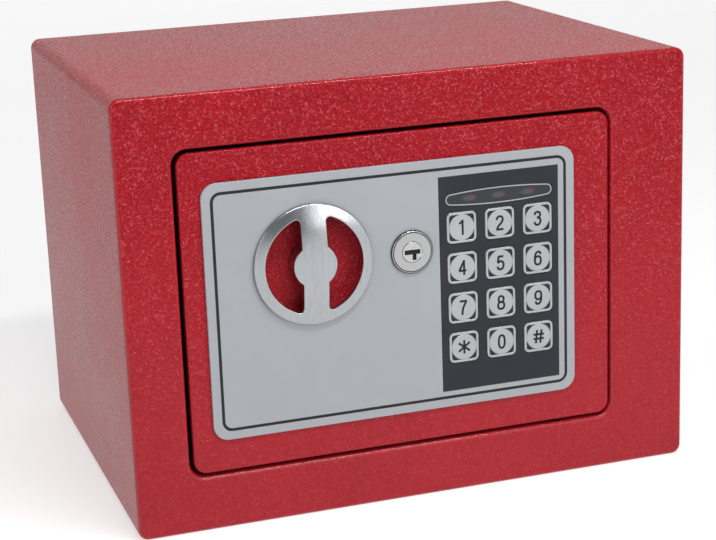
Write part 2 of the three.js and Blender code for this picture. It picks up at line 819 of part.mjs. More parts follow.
function makeKnob() {
  const faceY = fasciaFrontY - knobProud;
  const backY = fasciaFrontY - runningGap;
  const sphere = (knobRadius ** 2 + knobDomeRise ** 2) / (2 * knobDomeRise);
  const domeY = (radius) => faceY + sphere - Math.sqrt(sphere ** 2 - radius ** 2);
  const domeRings = [0, knobHubRadius, knobRingInner, knobRadius - knobEdgeRadius];
  const dome = domeRings.map((radius) => [radius, domeY(radius)]);
  const edge = [[knobRadius, domeY(knobRadius) + knobEdgeRadius], [knobRadius, backY], [0, backY]];
  const cap = turned([...dome, ...edge], knob.x, knob.z, fineFacets);
  const barBackY = faceY + knobBarDepth;
  const barReach = recessMouthRadius - barEndGap;
  const half = knobBarWidth / 2;
  const barBox = [knob.z - barReach, knob.z + barReach];
  const bar = block(knob.x - half, knob.x + half, backY - sink, barBackY, ...barBox);
  const hub = rod('y', knobHubRadius, backY - sink, hubBackY, knob.x, knob.z, fineFacets);
  const open = cut(join(cap, bar), fingerOpening(1), fingerOpening(-1));
  const socketTop = hubBackY - knobSocketDepth;
  const socket = rod('y', spindleRadius + seatGap, socketTop, hubBackY + past, knob.x, knob.z);
  return cut(join(open, hub), socket);
}

function makeSpindle() {
  const frontEnd = hubBackY - knobSocketDepth + seatGap;
  const groove = spindleRadius - clipGrooveDepth;
  const grooveFront = clipFrontY - seatGap;
  const grooveBack = clipBackY + seatGap;
  const shoulder = driveCamFrontY - seatGap;
  const profile = [
    [0, frontEnd],
    [spindleRadius, frontEnd],
    [spindleRadius, grooveFront],
    [groove, grooveFront],
    [groove, grooveBack],
    [spindleRadius, grooveBack],
    [spindleRadius, shoulder],
    [0, shoulder],
  ];
  const half = spindleSquare / 2;
  const [x0, x1, z0, z1] = [knob.x - half, knob.x + half, knob.z - half, knob.z + half];
  const tang = block(x0, x1, shoulder - sink, driveCamBackY + runningGap, z0, z1);
  return join(turned(profile, knob.x, knob.z), tang);
}

function makeRetainingClip() {
  const [y0, y1] = [clipFrontY - past, clipBackY + past];
  const half = clipMouth / 2;
  const ring = rod('y', clipRadius, clipFrontY, clipBackY, knob.x, knob.z);
  const bore = rod('y', spindleRadius - clipGrooveDepth + runningGap, y0, y1, knob.x, knob.z);
  const mouth = block(knob.x - half, knob.x + half, y0, y1, knob.z - clipRadius - past, knob.z);
  return cut(ring, bore, mouth);
}

function makeDriveCam() {
  const hub = rod('y', driveCamHubRadius, driveCamFrontY, driveCamBackY, knob.x, knob.z);
  const crank = (radius, y0, y1) => rod('y', radius, y0, y1, crankPin.x, crankPin.z, smallFacets);
  const lobe = crank(crankLobeRadius, driveCamFrontY, driveCamBackY);
  const pin = crank(crankPinRadius, driveCamBackY - sink, carriageBackY + 2 * runningGap);
  const half = spindleSquare / 2 + runningGap;
  const [x0, x1, z0, z1] = [knob.x - half, knob.x + half, knob.z - half, knob.z + half];
  const hole = block(x0, x1, driveCamFrontY - past, driveCamBackY + past, z0, z1);
  return cut(join(hub, lobe, pin), hole);
}

// Bolt carriage: a bent plate with a crank slot, two guide slots and a notch for the solenoid
function slotAlongX(x0, x1, z, radius) {
  const box = { left: x0 - radius, right: x1 + radius, bottom: z - radius, top: z + radius };
  return slab(roundedOutline(box, radius), carriageFrontY - past, carriageBackY + past);
}

function makeCarriage() {
  const left = carriageLeft;
  const strip = left + carriageStripWidth;
  const tab = left + carriageTabWidth;
  const f = carriageFillet;
  const shape = new THREE.Shape();
  shape.moveTo(left, carriageBottom);
  shape.lineTo(tab, carriageBottom);
  shape.lineTo(tab, carriageBottom + carriageTabHeight);
  shape.lineTo(strip + f, carriageBottom + carriageTabHeight);
  shape.absarc(strip + f, carriageBottom + carriageTabHeight + f, f, -Math.PI / 2, Math.PI, true);
  shape.lineTo(strip, carriageArmBottom - f);
  shape.absarc(strip + f, carriageArmBottom - f, f, Math.PI, Math.PI / 2, true);
  shape.lineTo(carriageArmRight, carriageArmBottom);
  shape.lineTo(carriageArmRight, carriageArmTop);
  shape.lineTo(tab, carriageArmTop);
  shape.lineTo(tab, carriageTop);
  shape.lineTo(left, carriageTop);
  const plate = slab(shape, carriageFrontY, carriageBackY, 4);
  const flangeBackY = carriageFrontY + carriageFlangeDepth;
  const flangeRight = left + carriageSheet;
  const flange = block(left, flangeRight, carriageFrontY, flangeBackY, carriageBottom, carriageTop);
  const spigotHoles = boltRows.map((z) => (
    rod('x', boltSpigotRadius + runningGap, left - past, flangeRight + past, boltAxisY, z, smallFacets)
  ));
  const slotRadius = guideStudRadius + slotClearance;
  const slotEnd = guideStudX + carriageTravel;
  const guideSlots = guideStudRows.map((z) => slotAlongX(guideStudX, slotEnd, z, slotRadius));
  const [y0, y1] = [carriageFrontY - past, carriageBackY + past];
  const reach = crankPinRadius + slotClearance;
  const crankBox = {
    left: crankPin.x - reach,
    right: crankPin.x + reach,
    bottom: crankPin.z - reach,
    top: knob.z + crankRadius + reach,
  };
  const crankSlot = slab(roundedOutline(crankBox, reach), y0, y1);
  const notchX = solenoidX + carriageTravel;
  const notchLeft = notchX - plungerRadius - plungerPlay;
  const notchRight = notchX + plungerRadius + 2 * runningGap;
  const notchTop = carriageArmBottom + plungerEngagement + notchRoom;
  const notch = block(notchLeft, notchRight, y0, y1, carriageArmBottom - past, notchTop);
  return cut(join(plate, flange), ...spigotHoles, ...guideSlots, crankSlot, notch);
}

// One bolt about its own axis along X, tip at zero.
function makeBolt() {
  const profile = [
    [0, 0],
    [boltRadius - boltTipChamfer, 0],
    [boltRadius, boltTipChamfer],
    [boltRadius, boltLength],
    [boltSpigotRadius, boltLength],
    [boltSpigotRadius, boltLength + boltSpigotLength],
    [0, boltLength + boltSpigotLength],
  ].map(([radius, y]) => new THREE.Vector2(radius, y));
  return solid(new THREE.LatheGeometry(profile, plainFacets).rotateZ(-Math.PI / 2));
}

function makeBoltGuide() {
  const left = cover.left;
  const right = left + guideSheet;
  const y0 = doorBackY + seatGap;
  const wall = block(left, right, y0, coverInnerY - runningGap, cover.bottom, cover.top);
  const inset = coverSheet + 2 * runningGap;
  const footBox = [cover.bottom + inset, cover.top - inset];
  const foot = block(left + guideSheet / 2, right + guideFootWidth, y0, y0 + guideSheet, ...footBox);
  const holes = boltRows.map((z) => (
    rod('x', boltRadius + boltGuideClearance, left - past, right + past, boltAxisY, z)
  ));
  return cut(join(wall, foot), ...holes);
}

// Solenoid
function makeSolenoidFrame() {
  const left = solenoidX - solenoidWidth / 2;
  const right = solenoidX + solenoidWidth / 2;
  const y0 = doorBackY + seatGap;
  const web = block(left, right, y0, y0 + solenoidSheet, solenoidBottom, solenoidTop);
  const arms = [solenoidBottom, solenoidTop - solenoidSheet].map((z) => (
    block(left, right, y0 + solenoidSheet / 2, y0 + solenoidDepth, z, z + solenoidSheet)
  ));
  const [z0, z1] = [solenoidBottom - past, solenoidTop + past];
  const bore = rod('z', plungerRadius + runningGap, z0, z1, solenoidX, plungerY);
  return cut(join(web, ...arms), bore);
}

function makeSolenoidCoil() {
  const winding = coilRadius - windingInset;
  const bore = plungerRadius + runningGap;
  const profile = [
    [bore, coilBottom],
    [coilRadius, coilBottom],
    [coilRadius, coilBottom + coilFlange],
    [winding, coilBottom + coilFlange],
    [winding, coilTop - coilFlange],
    [coilRadius, coilTop - coilFlange],
    [coilRadius, coilTop],
    [bore, coilTop],
    [bore, coilBottom],
  ].map(([radius, z]) => new THREE.Vector2(radius, z));
  const geometry = new THREE.LatheGeometry(profile, smallFacets).rotateX(Math.PI / 2);
  return solid(geometry.translate(solenoidX, plungerY, 0));
}

function makePlunger() {
  const stage = (radius, z0, z1) => rod('z', radius, z0, z1, solenoidX, plungerY, smallFacets);
  const shaft = stage(plungerRadius, plungerBottom, plungerTipZ);
  return join(shaft, stage(collarRadius, collarBottom, collarTop));
}

class Helix extends THREE.Curve {
  constructor(radius, height, turns) {
    super();
    Object.assign(this, { radius, height, turns });
  }

  getPoint(t, target = new THREE.Vector3()) {
    const angle = 2 * Math.PI * this.turns * t;
    return target.set(this.radius * Math.cos(angle), this.radius * Math.sin(angle), this.height * t);
  }
}

function makePlungerSpring() {
  const wireSize = 2 * springWireRadius;
  const section = new THREE.Shape(roundedOutline(boxAround(0, 0, wireSize, wireSize), springWireRadius, 1));
  const coilMiddle = plungerRadius + springCoreGap + springWireRadius;
  const extrudePath = new Helix(coilMiddle, springHeight - wireSize, springTurns);
  const wire = new THREE.ExtrudeGeometry(section, { steps: 8 * springTurns, extrudePath });
  const bottom = solenoidTop + runningGap + springWireRadius;
  return solid(wire.translate(solenoidX, plungerY, bottom));
}

// Override lock
function makeLockBarrel() {
  const bore = lockPlugRadius + lockPlugGap;
  const edge = lockRimThickness / 2;
  const profile = [
    [bore, lockRimFrontY],
    [lockRimRadius - edge, lockRimFrontY],
    [lockRimRadius, lockRimFrontY + edge],
    [lockRimRadius, lockRimBackY],
    [lockBarrelRadius, lockRimBackY],
    [lockBarrelRadius, lockEndY],
    [bore, lockEndY],
    [bore, lockRimFrontY],
  ];
  return turned(profile, lock.x, lock.z, lockFacets);
}

function makeLockPlug() {
  const front = lockRimFrontY + lockPlugInset;
  const core = rod('y', lockPlugRadius, front, lockEndY + seatGap, lock.x, lock.z);
  const tailEnd = lockEndY + seatGap + lockTailLength;
  const tailArea = boxAround(lock.x, lock.z, lockTailSquare, lockTailSquare);
  const tail = block(tailArea.left, tailArea.right, lockEndY, tailEnd, tailArea.bottom, tailArea.top);
  const threadFront = lockEndY - camThreadDepth;
  const thread = rod('y', camThreadRadius, threadFront, tailEnd + past, lock.x, lock.z, smallFacets);
  const [y0, y1] = [front - past, front + keywayDepth];
  const keyway = boxAround(lock.x, lock.z, keywayLength, keywayWidth);
  const slot = block(keyway.left, keyway.right, y0, y1, keyway.bottom, keyway.top);
  const step = block(lock.x, lock.x + keywayStepWidth, y0, y1, lock.z - keywayStepHeight, lock.z);
  return cut(join(core, tail), thread, slot, step);
}

function makeLockNut() {
  const y0 = doorBackY + seatGap;
  const across = lockNutAcross / Math.sqrt(3);
  const y1 = y0 + lockNutThickness;
  const hexagon = rod('y', across, y0, y1, lock.x, lock.z, 6);
  return cut(hexagon, rod('y', lockBarrelRadius + lockPlugGap, y0 - past, y1 + past, lock.x, lock.z));
}

function makeLockCam() {
  const half = lockCamWidth / 2;
  const shape = new THREE.Shape();
  shape.absarc(lock.x, lock.z, half, 0, Math.PI, false);
  shape.lineTo(lock.x - half, lock.z - lockCamLength + half);
  shape.absarc(lock.x, lock.z - lockCamLength + half, half, Math.PI, 2 * Math.PI, false);
  const lockCamBackY = lockCamFrontY + lockCamThickness;
  const blade = slab(shape, lockCamFrontY, lockCamBackY, 10);
  const holeSize = lockTailSquare + 2 * lockPlugGap;
  const hole = boxAround(lock.x, lock.z, holeSize, holeSize);
  const [y0, y1] = [lockCamFrontY - past, lockCamBackY + past];
  return cut(blade, block(hole.left, hole.right, y0, y1, hole.bottom, hole.top));
}

function makeCamScrew() {
  const seat = lockCamFrontY + lockCamThickness + runningGap;
  const headBackY = seat + camScrewHead;
  const shankFront = lockEndY - camThreadDepth + past;
  const head = rod('y', camScrewRadius, seat, headBackY, lock.x, lock.z);
  const shank = rod('y', camScrewShank, shankFront, seat + sink, lock.x, lock.z, smallFacets);
  const slot = boxAround(lock.x, lock.z, 2 * camScrewRadius + past, camScrewSlotWidth);
  const slotFront = headBackY - camScrewSlotDepth;
  const driver = block(slot.left, slot.right, slotFront, headBackY + past, slot.bottom, slot.top);
  return cut(join(head, shank), driver);
}

// Inner cover, battery holder and electronics
function coverRail(z, side) {
  const outerZ = z + side * railWidth;
  const lipZ = z - side * railLip;
  const lipFrontY = lidBackY + runningGap;
  const lipBackY = lipFrontY + railLipThickness;
  const sorted = (a, b) => [Math.min(a, b), Math.max(a, b)];
  const post = block(lidBox.left, lidBox.right, coverInnerY + coverSheet / 2, lipBackY, ...sorted(z, outerZ));
  const lip = block(lidBox.left, lidBox.right, lipFrontY, lipBackY, ...sorted(lipZ, outerZ));
  return join(post, lip);
}

function makeCover() {
  const frontEdgeY = doorBackY + runningGap;
  const insideEdgeX = cover.left + guideSheet + runningGap;
  const innerRadius = coverCornerRadius - coverSheet;
  const outer = slab(roundedOutline(cover, coverCornerRadius, 3), frontEdgeY, coverBackY);
  const room = grow(cover, -coverSheet);
  const inner = slab(roundedOutline(room, innerRadius, 3), frontEdgeY - past, coverInnerY);
  const ends = [cover.bottom - past, cover.top + past];
  const openSide = block(cover.left - past, insideEdgeX, frontEdgeY - past, coverInnerY, ...ends);
  const [y0, y1] = [coverInnerY - past, coverBackY + past];
  const hatch = slab(roundedOutline(grow(holder, -holderWall), hatchRadius, 2), y0, y1);
  const screwHoles = coverStuds.map(([x, z]) => (
    rod('y', screwShankRadius + runningGap, y0, y1, x, z, smallFacets)
  ));
  const resetHole = rod('y', resetHeadRadius + runningGap, y0, y1, reset.x, reset.z);
  const shell = cut(outer, inner, openSide, hatch, resetHole, ...screwHoles);
  return join(shell, coverRail(lidBox.bottom - runningGap, -1), coverRail(lidBox.top + runningGap, 1));
}

function makeBatteryLid() {
  const plate = slab(roundedOutline(lidBox, lidCornerRadius, 2), lidFrontY, lidBackY);
  const middle = (lidBox.bottom + lidBox.top) / 2;
  const [z0, z1] = [middle - ridgeLength / 2, middle + ridgeLength / 2];
  const ridges = Array.from({ length: ridgeCount }, (unused, i) => {
    const x = lidBox.right - ridgeFromEnd - i * ridgePitch;
    return block(x, x + ridgeWidth, lidBackY - sink, lidBackY + ridgeProud, z0, z1);
  });
  return join(plate, ...ridges);
}

function makeBatteryHolder() {
  const tray = block(holder.left, holder.right, holderFloorY, holderBackY, holder.bottom, holder.top);
  const space = grow(holder, -holderWall);
  const floorBackY = holderFloorY + holderWall;
  const hollow = block(space.left, space.right, floorBackY, holderBackY + past, space.bottom, space.top);
  const [ribLeft, ribRight] = [space.left + holderRibInset, space.right - holderRibInset];
  const ribs = Array.from({ length: batteryCount - 1 }, (unused, i) => {
    const z = space.bottom + (i + 1) * batteryPitch;
    const [z0, z1] = [z - holderRib / 2, z + holderRib / 2];
    return block(ribLeft, ribRight, floorBackY - sink, floorBackY + holderRibHeight, z0, z1);
  });
  const pegPlaces = [
    [board.left + pegInset, board.bottom + pegInset],
    [board.right - pegInset, holder.top - pegInset],
  ];
  const pegs = pegPlaces.map(([x, z]) => (
    rod('y', pegRadius, boardBackY + runningGap, holderFloorY + sink, x, z, smallFacets)
  ));
  return join(cut(tray, hollow), ...ribs, ...pegs);
}

// One round cell about its own axis along X, flat end at zero.
function makeBattery() {
  const profile = [
    [0, 0],
    [batteryRadius - batteryEdge, 0],
    [batteryRadius, batteryEdge],
    [batteryRadius, batteryLength - batteryEdge],
    [batteryRadius - batteryEdge, batteryLength],
    [batteryNubRadius, batteryLength],
    [batteryNubRadius, batteryLength + batteryNubLength],
    [0, batteryLength + batteryNubLength],
  ].map(([radius, y]) => new THREE.Vector2(radius, y));
  return solid(new THREE.LatheGeometry(profile, smallFacets).rotateZ(-Math.PI / 2));
}

function makeControlBoard() {
  const sheet = block(board.left, board.right, boardFrontY, boardBackY, board.bottom, board.top);
  const y0 = boardBackY - sink;
  const pad = boxAround(reset.x, reset.z, switchSize, switchSize);
  const resetSwitch = block(pad.left, pad.right, y0, resetSwitchBackY, pad.bottom, pad.top);
  const [chipX, chipZ] = [board.left + chipInset, board.bottom + chipInset];
  const chip = block(chipX, chipX + chipWidth, y0, boardBackY + chipThickness, chipZ, chipZ + chipHeight);
  return join(sheet, resetSwitch, chip);
}

function makeBoardConnector() {
  const x0 = (board.left + board.right - connectorWidth) / 2;
  const z0 = board.bottom + connectorFromBottom;
  const [y0, y1] = [circuitBackY + runningGap, boardFrontY - runningGap];
  return block(x0, x0 + connectorWidth, y0, y1, z0, z0 + connectorHeight);
}

function makeBuzzer() {
  const y0 = boardBackY + runningGap;
  const y1 = y0 + buzzerHeight;
  const profile = [
    [0, y0],
    [buzzerRadius, y0],
    [buzzerRadius, y1 - buzzerEdge],
    [buzzerRadius - buzzerEdge, y1],
    [buzzerHoleRadius, y1],
    [buzzerHoleRadius, y1 - buzzerHoleDepth],
    [0, y1 - buzzerHoleDepth],
  ];
  return turned(profile, board.left + buzzerInset, board.top - buzzerFromTop, smallFacets);
}

function makeResetButton() {
  const headBackY = coverBackY + resetProud;
  const flangeBackY = coverInnerY - runningGap;
  const flangeFrontY = flangeBackY - resetFlange;
  const stemFrontY = resetSwitchBackY + resetTravel + seatGap;
  const profile = [
    [0, stemFrontY],
    [resetStemRadius, stemFrontY],
    [resetStemRadius, flangeFrontY],
    [resetHeadRadius + resetFlange, flangeFrontY],
    [resetHeadRadius + resetFlange, flangeBackY],
    [resetHeadRadius, flangeBackY],
    [resetHeadRadius, headBackY - resetEdge],
    [resetHeadRadius - resetEdge, headBackY],
    [0, headBackY],
  ];
  return turned(profile, reset.x, reset.z, smallFacets);
}

// One pan-head screw about its own axis along Y, underside of the head at zero, head towards the back.
function makeCoverScrew() {
  const profile = [
    [0, 0],
    [screwHeadRadius, 0],
    [screwHeadRadius, screwHeadHeight - screwHeadRound],
    [screwHeadRadius - screwHeadRound, screwHeadHeight],
    [0, screwHeadHeight],
  ];
  const shank = rod('y', screwShankRadius, -screwLength, sink, 0, 0, smallFacets);
  const crossFront = screwHeadHeight - screwCrossDepth;
  const [long, short] = [screwCrossLength / 2, screwCrossWidth / 2];
  const crossArm = (w, h) => block(-w, w, crossFront, screwHeadHeight + past, -h, h);
  return cut(join(turned(profile, 0, 0, smallFacets), shank), crossArm(long, short), crossArm(short, long));
}

// Scene graph
function finish(color, roughness, metalness) {
  return { color, roughness, metalness };
}

const redPowder = finish(0xb41c2a, 0.55, 0.1);
const brightSteel = finish(0xb9bcc0, 0.35, 0.9);
const zincSteel = finish(0xa9abad, 0.45, 0.85);
const satinChrome = finish(0xc9cbce, 0.28, 0.95);
const silverPlastic = finish(0xb2b6ba, 0.5, 0.3);
const darkPlastic = finish(0x3c3e45, 0.5, 0);
const blackPlastic = finish(0x1c1c1e, 0.6, 0);
const boardGreen = finish(0x1f5a35, 0.5, 0.1);
const copperWire = finish(0xa5552a, 0.4, 0.7);
const greyFelt = finish(0x4a4b4e, 0.95, 0);
const redLens = finish(0x5a2228, 0.3, 0);
const ledRed = finish(0xa33a40, 0.3, 0);
const resetRed = finish(0xc0202a, 0.4, 0);
const batteryBlue = finish(0x2e5c88, 0.35, 0.4);

function addPiece(group, name, piece, look, position = [0, 0, 0]) {
  const mesh = piece.getMesh();
  const geometry = new THREE.BufferGeometry();
  geometry.setAttribute('position', new THREE.BufferAttribute(new Float32Array(mesh.vertProperties), 3));
  geometry.setIndex(new THREE.BufferAttribute(new Uint32Array(mesh.triVerts), 1));
  const node = new THREE.Mesh(toCreasedNormals(geometry, Math.PI / 6), new THREE.MeshStandardMaterial(look));
  node.name = name;
  node.position.set(...position);
  group.add(node);
}

function makeBodyGroup() {
  const group = new THREE.Group();
  addPiece(group, 'body_shell', makeBodyShell(), redPowder);
  addPiece(group, 'back_panel', makeBackPanel(), redPowder);
  addPiece(group, 'floor_mat', makeFloorMat(), greyFelt);
  addPiece(group, 'hinge_washer', makeHingeWasher(), zincSteel);
  return group;
}

function makeDoorGroup() {
  const group = new THREE.Group();
  addPiece(group, 'door_plate', makeDoorPlate(), redPowder);
  addPiece(group, 'hinge_block_upper', makeUpperHingeBlock(), redPowder);
  addPiece(group, 'hinge_block_lower', makeLowerHingeBlock(), redPowder);
  addPiece(group, 'hinge_pin_upper', makeHingePin(upperPinTop - hingePinLength), brightSteel);
  addPiece(group, 'hinge_pin_lower', makeHingePin(lowerPinBottom), brightSteel);
  addPiece(group, 'fascia', makeFascia(), silverPlastic);
  addPiece(group, 'keypad_overlay', makeOverlay(), darkPlastic);
  addPiece(group, 'indicator_lens', makeLens(), redLens);
  ['left', 'middle', 'right'].forEach((side, i) => addPiece(group, `led_${side}`, makeLed(i), ledRed));
  addPiece(group, 'keypad_circuit', makeKeypadCircuit(), boardGreen);
  addPiece(group, 'bolt_guide', makeBoltGuide(), redPowder);
  addPiece(group, 'door_cover', makeCover(), redPowder);
  coverStuds.forEach(([x, z], i) => {
    addPiece(group, `cover_screw_${i + 1}`, makeCoverScrew(), zincSteel, [x, coverBackY + runningGap, z]);
  });
  return group;
}

function makeElectronicsGroup() {
  const group = new THREE.Group();
  addPiece(group, 'control_board', makeControlBoard(), boardGreen);
  addPiece(group, 'board_connector', makeBoardConnector(), blackPlastic);
  addPiece(group, 'buzzer', makeBuzzer(), blackPlastic);
  addPiece(group, 'battery_holder', makeBatteryHolder(), blackPlastic);
  const cellX = holder.left + holderWall + contactSpace / 2;
  const cellY = holderFloorY + holderWall + runningGap / 2 + batteryRadius;
  for (let i = 0; i < batteryCount; i += 1) {
    const z = holder.bottom + holderWall + (i + 0.5) * batteryPitch;
    addPiece(group, `battery_${i + 1}`, makeBattery(), batteryBlue, [cellX, cellY, z]);
  }
  addPiece(group, 'battery_lid', makeBatteryLid(), blackPlastic);
  addPiece(group, 'reset_button', makeResetButton(), resetRed);
  return group;
}

function makeKeyGroup() {
  const group = new THREE.Group();
  keyPlaces().forEach(({ name, x, z }) => {
    addPiece(group, name, makeKey(), silverPlastic, [x, overlayFrontY, z]);
  });
  return group;
}

function makeKnobGroup() {
  const group = new THREE.Group();
  addPiece(group, 'knob', makeKnob(), satinChrome);
  addPiece(group, 'knob_spindle', makeSpindle(), brightSteel);
  addPiece(group, 'retaining_clip', makeRetainingClip(), zincSteel);
  addPiece(group, 'drive_cam', makeDriveCam(), zincSteel);
  return group;
}

function makeBoltGroup() {
  const group = new THREE.Group();
  addPiece(group, 'bolt_carriage', makeCarriage(), zincSteel);
  addPiece(group, 'bolt_lower', makeBolt(), brightSteel, [boltTipX, boltAxisY, boltRows[0]]);
  addPiece(group, 'bolt_upper', makeBolt(), brightSteel, [boltTipX, boltAxisY, boltRows[1]]);
  return group;
}

function makeSolenoidGroup() {
  const group = new THREE.Group();
  addPiece(group, 'solenoid_frame', makeSolenoidFrame(), zincSteel);
  addPiece(group, 'solenoid_coil', makeSolenoidCoil(), copperWire);
  addPiece(group, 'solenoid_plunger', makePlunger(), brightSteel);
  addPiece(group, 'plunger_spring', makePlungerSpring(), brightSteel);
  return group;
}

function makeLockGroup() {
  const group = new THREE.Group();
  addPiece(group, 'lock_barrel', makeLockBarrel(), satinChrome);
  addPiece(group, 'lock_plug', makeLockPlug(), satinChrome);
  addPiece(group, 'lock_nut', makeLockNut(), zincSteel);
  addPiece(group, 'lock_cam', makeLockCam(), zincSteel);
  addPiece(group, 'lock_cam_screw', makeCamScrew(), zincSteel);
  return group;
}

const safe = new THREE.Group();
safe.add(
  makeBodyGroup(),
  makeDoorGroup(),
  makeElectronicsGroup(),
  makeKeyGroup(),
  makeKnobGroup(),
  makeBoltGroup(),
  makeSolenoidGroup(),
  makeLockGroup(),
);

export default safe;
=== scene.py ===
# Small red electronic safe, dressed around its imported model. Metres outside, millimetres inside the surfaces.
import math

import bmesh
import bpy
import numpy as np
from mathutils import Matrix, Vector


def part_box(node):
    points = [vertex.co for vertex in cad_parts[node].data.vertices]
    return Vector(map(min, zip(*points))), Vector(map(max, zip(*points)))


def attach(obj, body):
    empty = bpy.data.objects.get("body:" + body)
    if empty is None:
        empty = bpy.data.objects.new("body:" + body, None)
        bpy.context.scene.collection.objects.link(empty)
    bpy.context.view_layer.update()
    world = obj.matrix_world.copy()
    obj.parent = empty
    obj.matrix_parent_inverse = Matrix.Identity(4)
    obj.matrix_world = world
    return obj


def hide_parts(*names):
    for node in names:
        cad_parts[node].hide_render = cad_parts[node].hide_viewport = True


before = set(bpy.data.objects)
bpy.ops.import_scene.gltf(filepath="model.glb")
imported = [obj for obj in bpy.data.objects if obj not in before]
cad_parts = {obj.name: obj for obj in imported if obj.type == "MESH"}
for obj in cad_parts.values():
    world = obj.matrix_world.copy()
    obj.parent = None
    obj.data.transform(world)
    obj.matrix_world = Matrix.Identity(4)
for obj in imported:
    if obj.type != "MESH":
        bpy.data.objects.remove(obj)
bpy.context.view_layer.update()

scene = bpy.context.scene
scene.view_settings.view_transform = "Standard"
mm = 0.001
print("frame loaded:", len(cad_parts), "nodes")


def placed(name, data):
    piece = bpy.data.objects.new(name, data)
    scene.collection.objects.link(piece)
    return piece


# camera: a long lens a little above and to the left of the door
view = {"azimuth": -18.3052, "elevation": 15.4560, "roll": -2.1329,
        "place": (-0.24015, -0.73906, 0.28667), "lens": 94.36}


def makeCamera(view):
    az, el, roll = (math.radians(view[key]) for key in ("azimuth", "elevation", "roll"))
    back = Vector((math.sin(az) * math.cos(el), -math.cos(az) * math.cos(el), math.sin(el)))
    right = Vector((0, 0, 1)).cross(back).normalized()
    up = back.cross(right)
    across = math.cos(roll) * right + math.sin(roll) * up
    above = -math.sin(roll) * right + math.cos(roll) * up
    camera = placed("camera", bpy.data.cameras.new("camera"))
    camera.data.lens = view["lens"]
    camera.data.sensor_width = 36
    camera.data.sensor_fit = "HORIZONTAL"
    camera.data.clip_start = 0.05
    turn = Matrix((across, above, back)).transposed().to_4x4()
    camera.matrix_world = Matrix.Translation(view["place"]) @ turn
    scene.camera = camera


makeCamera(view)
print("camera set")


# helpers that turn arrays of points into objects
def arc(start, end, steps):
    # degrees in, radians out
    return np.radians(np.linspace(start, end, steps + 1))


def atY(x, y, z):
    # one row of points; y is a number or an array
    return np.column_stack([x, np.broadcast_to(y, np.shape(x)), z])


def ringFaces(rows, columns, closedRows, closedColumns):
    # quad i, j joins points (i, j), (i, j+1), (i+1, j+1), (i+1, j), wrapping round where closed
    i = np.arange(rows if closedRows else rows - 1)[:, None]
    j = np.arange(columns if closedColumns else columns - 1)[None, :]
    iNext, jNext = (i + 1) % rows, (j + 1) % columns
    quads = [i * columns + j, i * columns + jNext, iNext * columns + jNext, iNext * columns + j]
    return np.stack(np.broadcast_arrays(*quads), -1).reshape(-1, 4)


def shaded(mesh, sharpAngle=40):
    # smooth faces, sharp edges where two of them meet at more than this angle
    mesh.polygons.foreach_set("use_smooth", np.ones(len(mesh.polygons), bool))
    mesh.set_sharp_from_angle(angle=math.radians(sharpAngle))
    return mesh


def makeObject(name, points, faces, sharpAngle=40):
    # joins points that meet, drops flat folds and turns every face outwards
    mesh = bpy.data.meshes.new(name)
    mesh.from_pydata((points * mm).tolist(), [], faces)
    work = bmesh.new()
    work.from_mesh(mesh)
    bmesh.ops.remove_doubles(work, verts=work.verts, dist=1e-7)
    bmesh.ops.dissolve_degenerate(work, edges=work.edges, dist=1e-8)
    bmesh.ops.recalc_face_normals(work, faces=work.faces)
    work.to_mesh(mesh)
    work.free()
    return placed(name, shaded(mesh, sharpAngle))


def gridObject(name, grid, closedRows=False, closedColumns=True, capEnds=False, sharpAngle=40):
    # rows by columns by three, with flat end faces where asked
    rows, columns = grid.shape[:2]
    faces = ringFaces(rows, columns, closedRows, closedColumns).tolist()
    if capEnds:
        faces += [list(range(columns)), list(range((rows - 1) * columns, rows * columns))]
    return makeObject(name, grid.reshape(-1, 3), faces, sharpAngle)


def edgeColumns(steps=10, shares=(0.006, 0.994)):
    # each column is a corner, a share of the side after it and an angle: steps + 1 of them turn round each corner at
    # share 0, then the given shares run along the side
    share = np.concatenate([np.zeros(steps + 1), shares])
    angle = np.concatenate([np.linspace(-90, 0, steps + 1), np.zeros(len(shares))])
    return np.vstack([np.column_stack([np.full(len(share), k), share, angle + 90 * k]) for k in range(4)])


def rowsOf(entries, columns=None):
    # one rounded rectangle for each box, radius and y: a point is (1 - s) C + s D + r (cos a, sin a), where C and D
    # are the centres of a corner and of the next one; boxes are left, right, bottom, top
    columns = edgeColumns() if columns is None else columns
    corner = columns[:, 0].astype(int)
    share, angle = columns[:, 1], np.radians(columns[:, 2])
    boxes, radii, ys = (np.asarray(values, float) for values in zip(*entries))
    radius = radii[:, None]
    centreX = boxes[:, [1, 1, 0, 0]] + radius * np.array([-1, -1, 1, 1])
    centreZ = boxes[:, [2, 3, 3, 2]] + radius * np.array([1, -1, -1, 1])
    following = (corner + 1) % 4
    x = (1 - share) * centreX[:, corner] + share * centreX[:, following] + radius * np.cos(angle)
    z = (1 - share) * centreZ[:, corner] + share * centreZ[:, following] + radius * np.sin(angle)
    return np.stack([x, np.broadcast_to(ys[:, None], x.shape), z], -1)


def roundOver(radius, steps=6):
    # inset and setback of an edge of this radius, from the flat face round to the side: r (1 - sin a) and
    # r (1 - cos a) for a from 0 to 90 degrees
    a = arc(0, 90, steps)
    return list(zip(radius * (1 - np.sin(a)), radius * (1 - np.cos(a))))


def inset(box, amount):
    return [box[0] + amount, box[1] - amount, box[2] + amount, box[3] - amount]


def stepped(box, rows):
    # entries for rowsOf from one box: each row is an inset, a radius and a y
    return [(inset(box, amount), radius, y) for amount, radius, y in rows]


def around(x, z, halfWidth, halfHeight):
    return [x - halfWidth, x + halfWidth, z - halfHeight, z + halfHeight]


def moved(box, x, z):
    return [box[0] + x, box[1] + x, box[2] + z, box[3] + z]


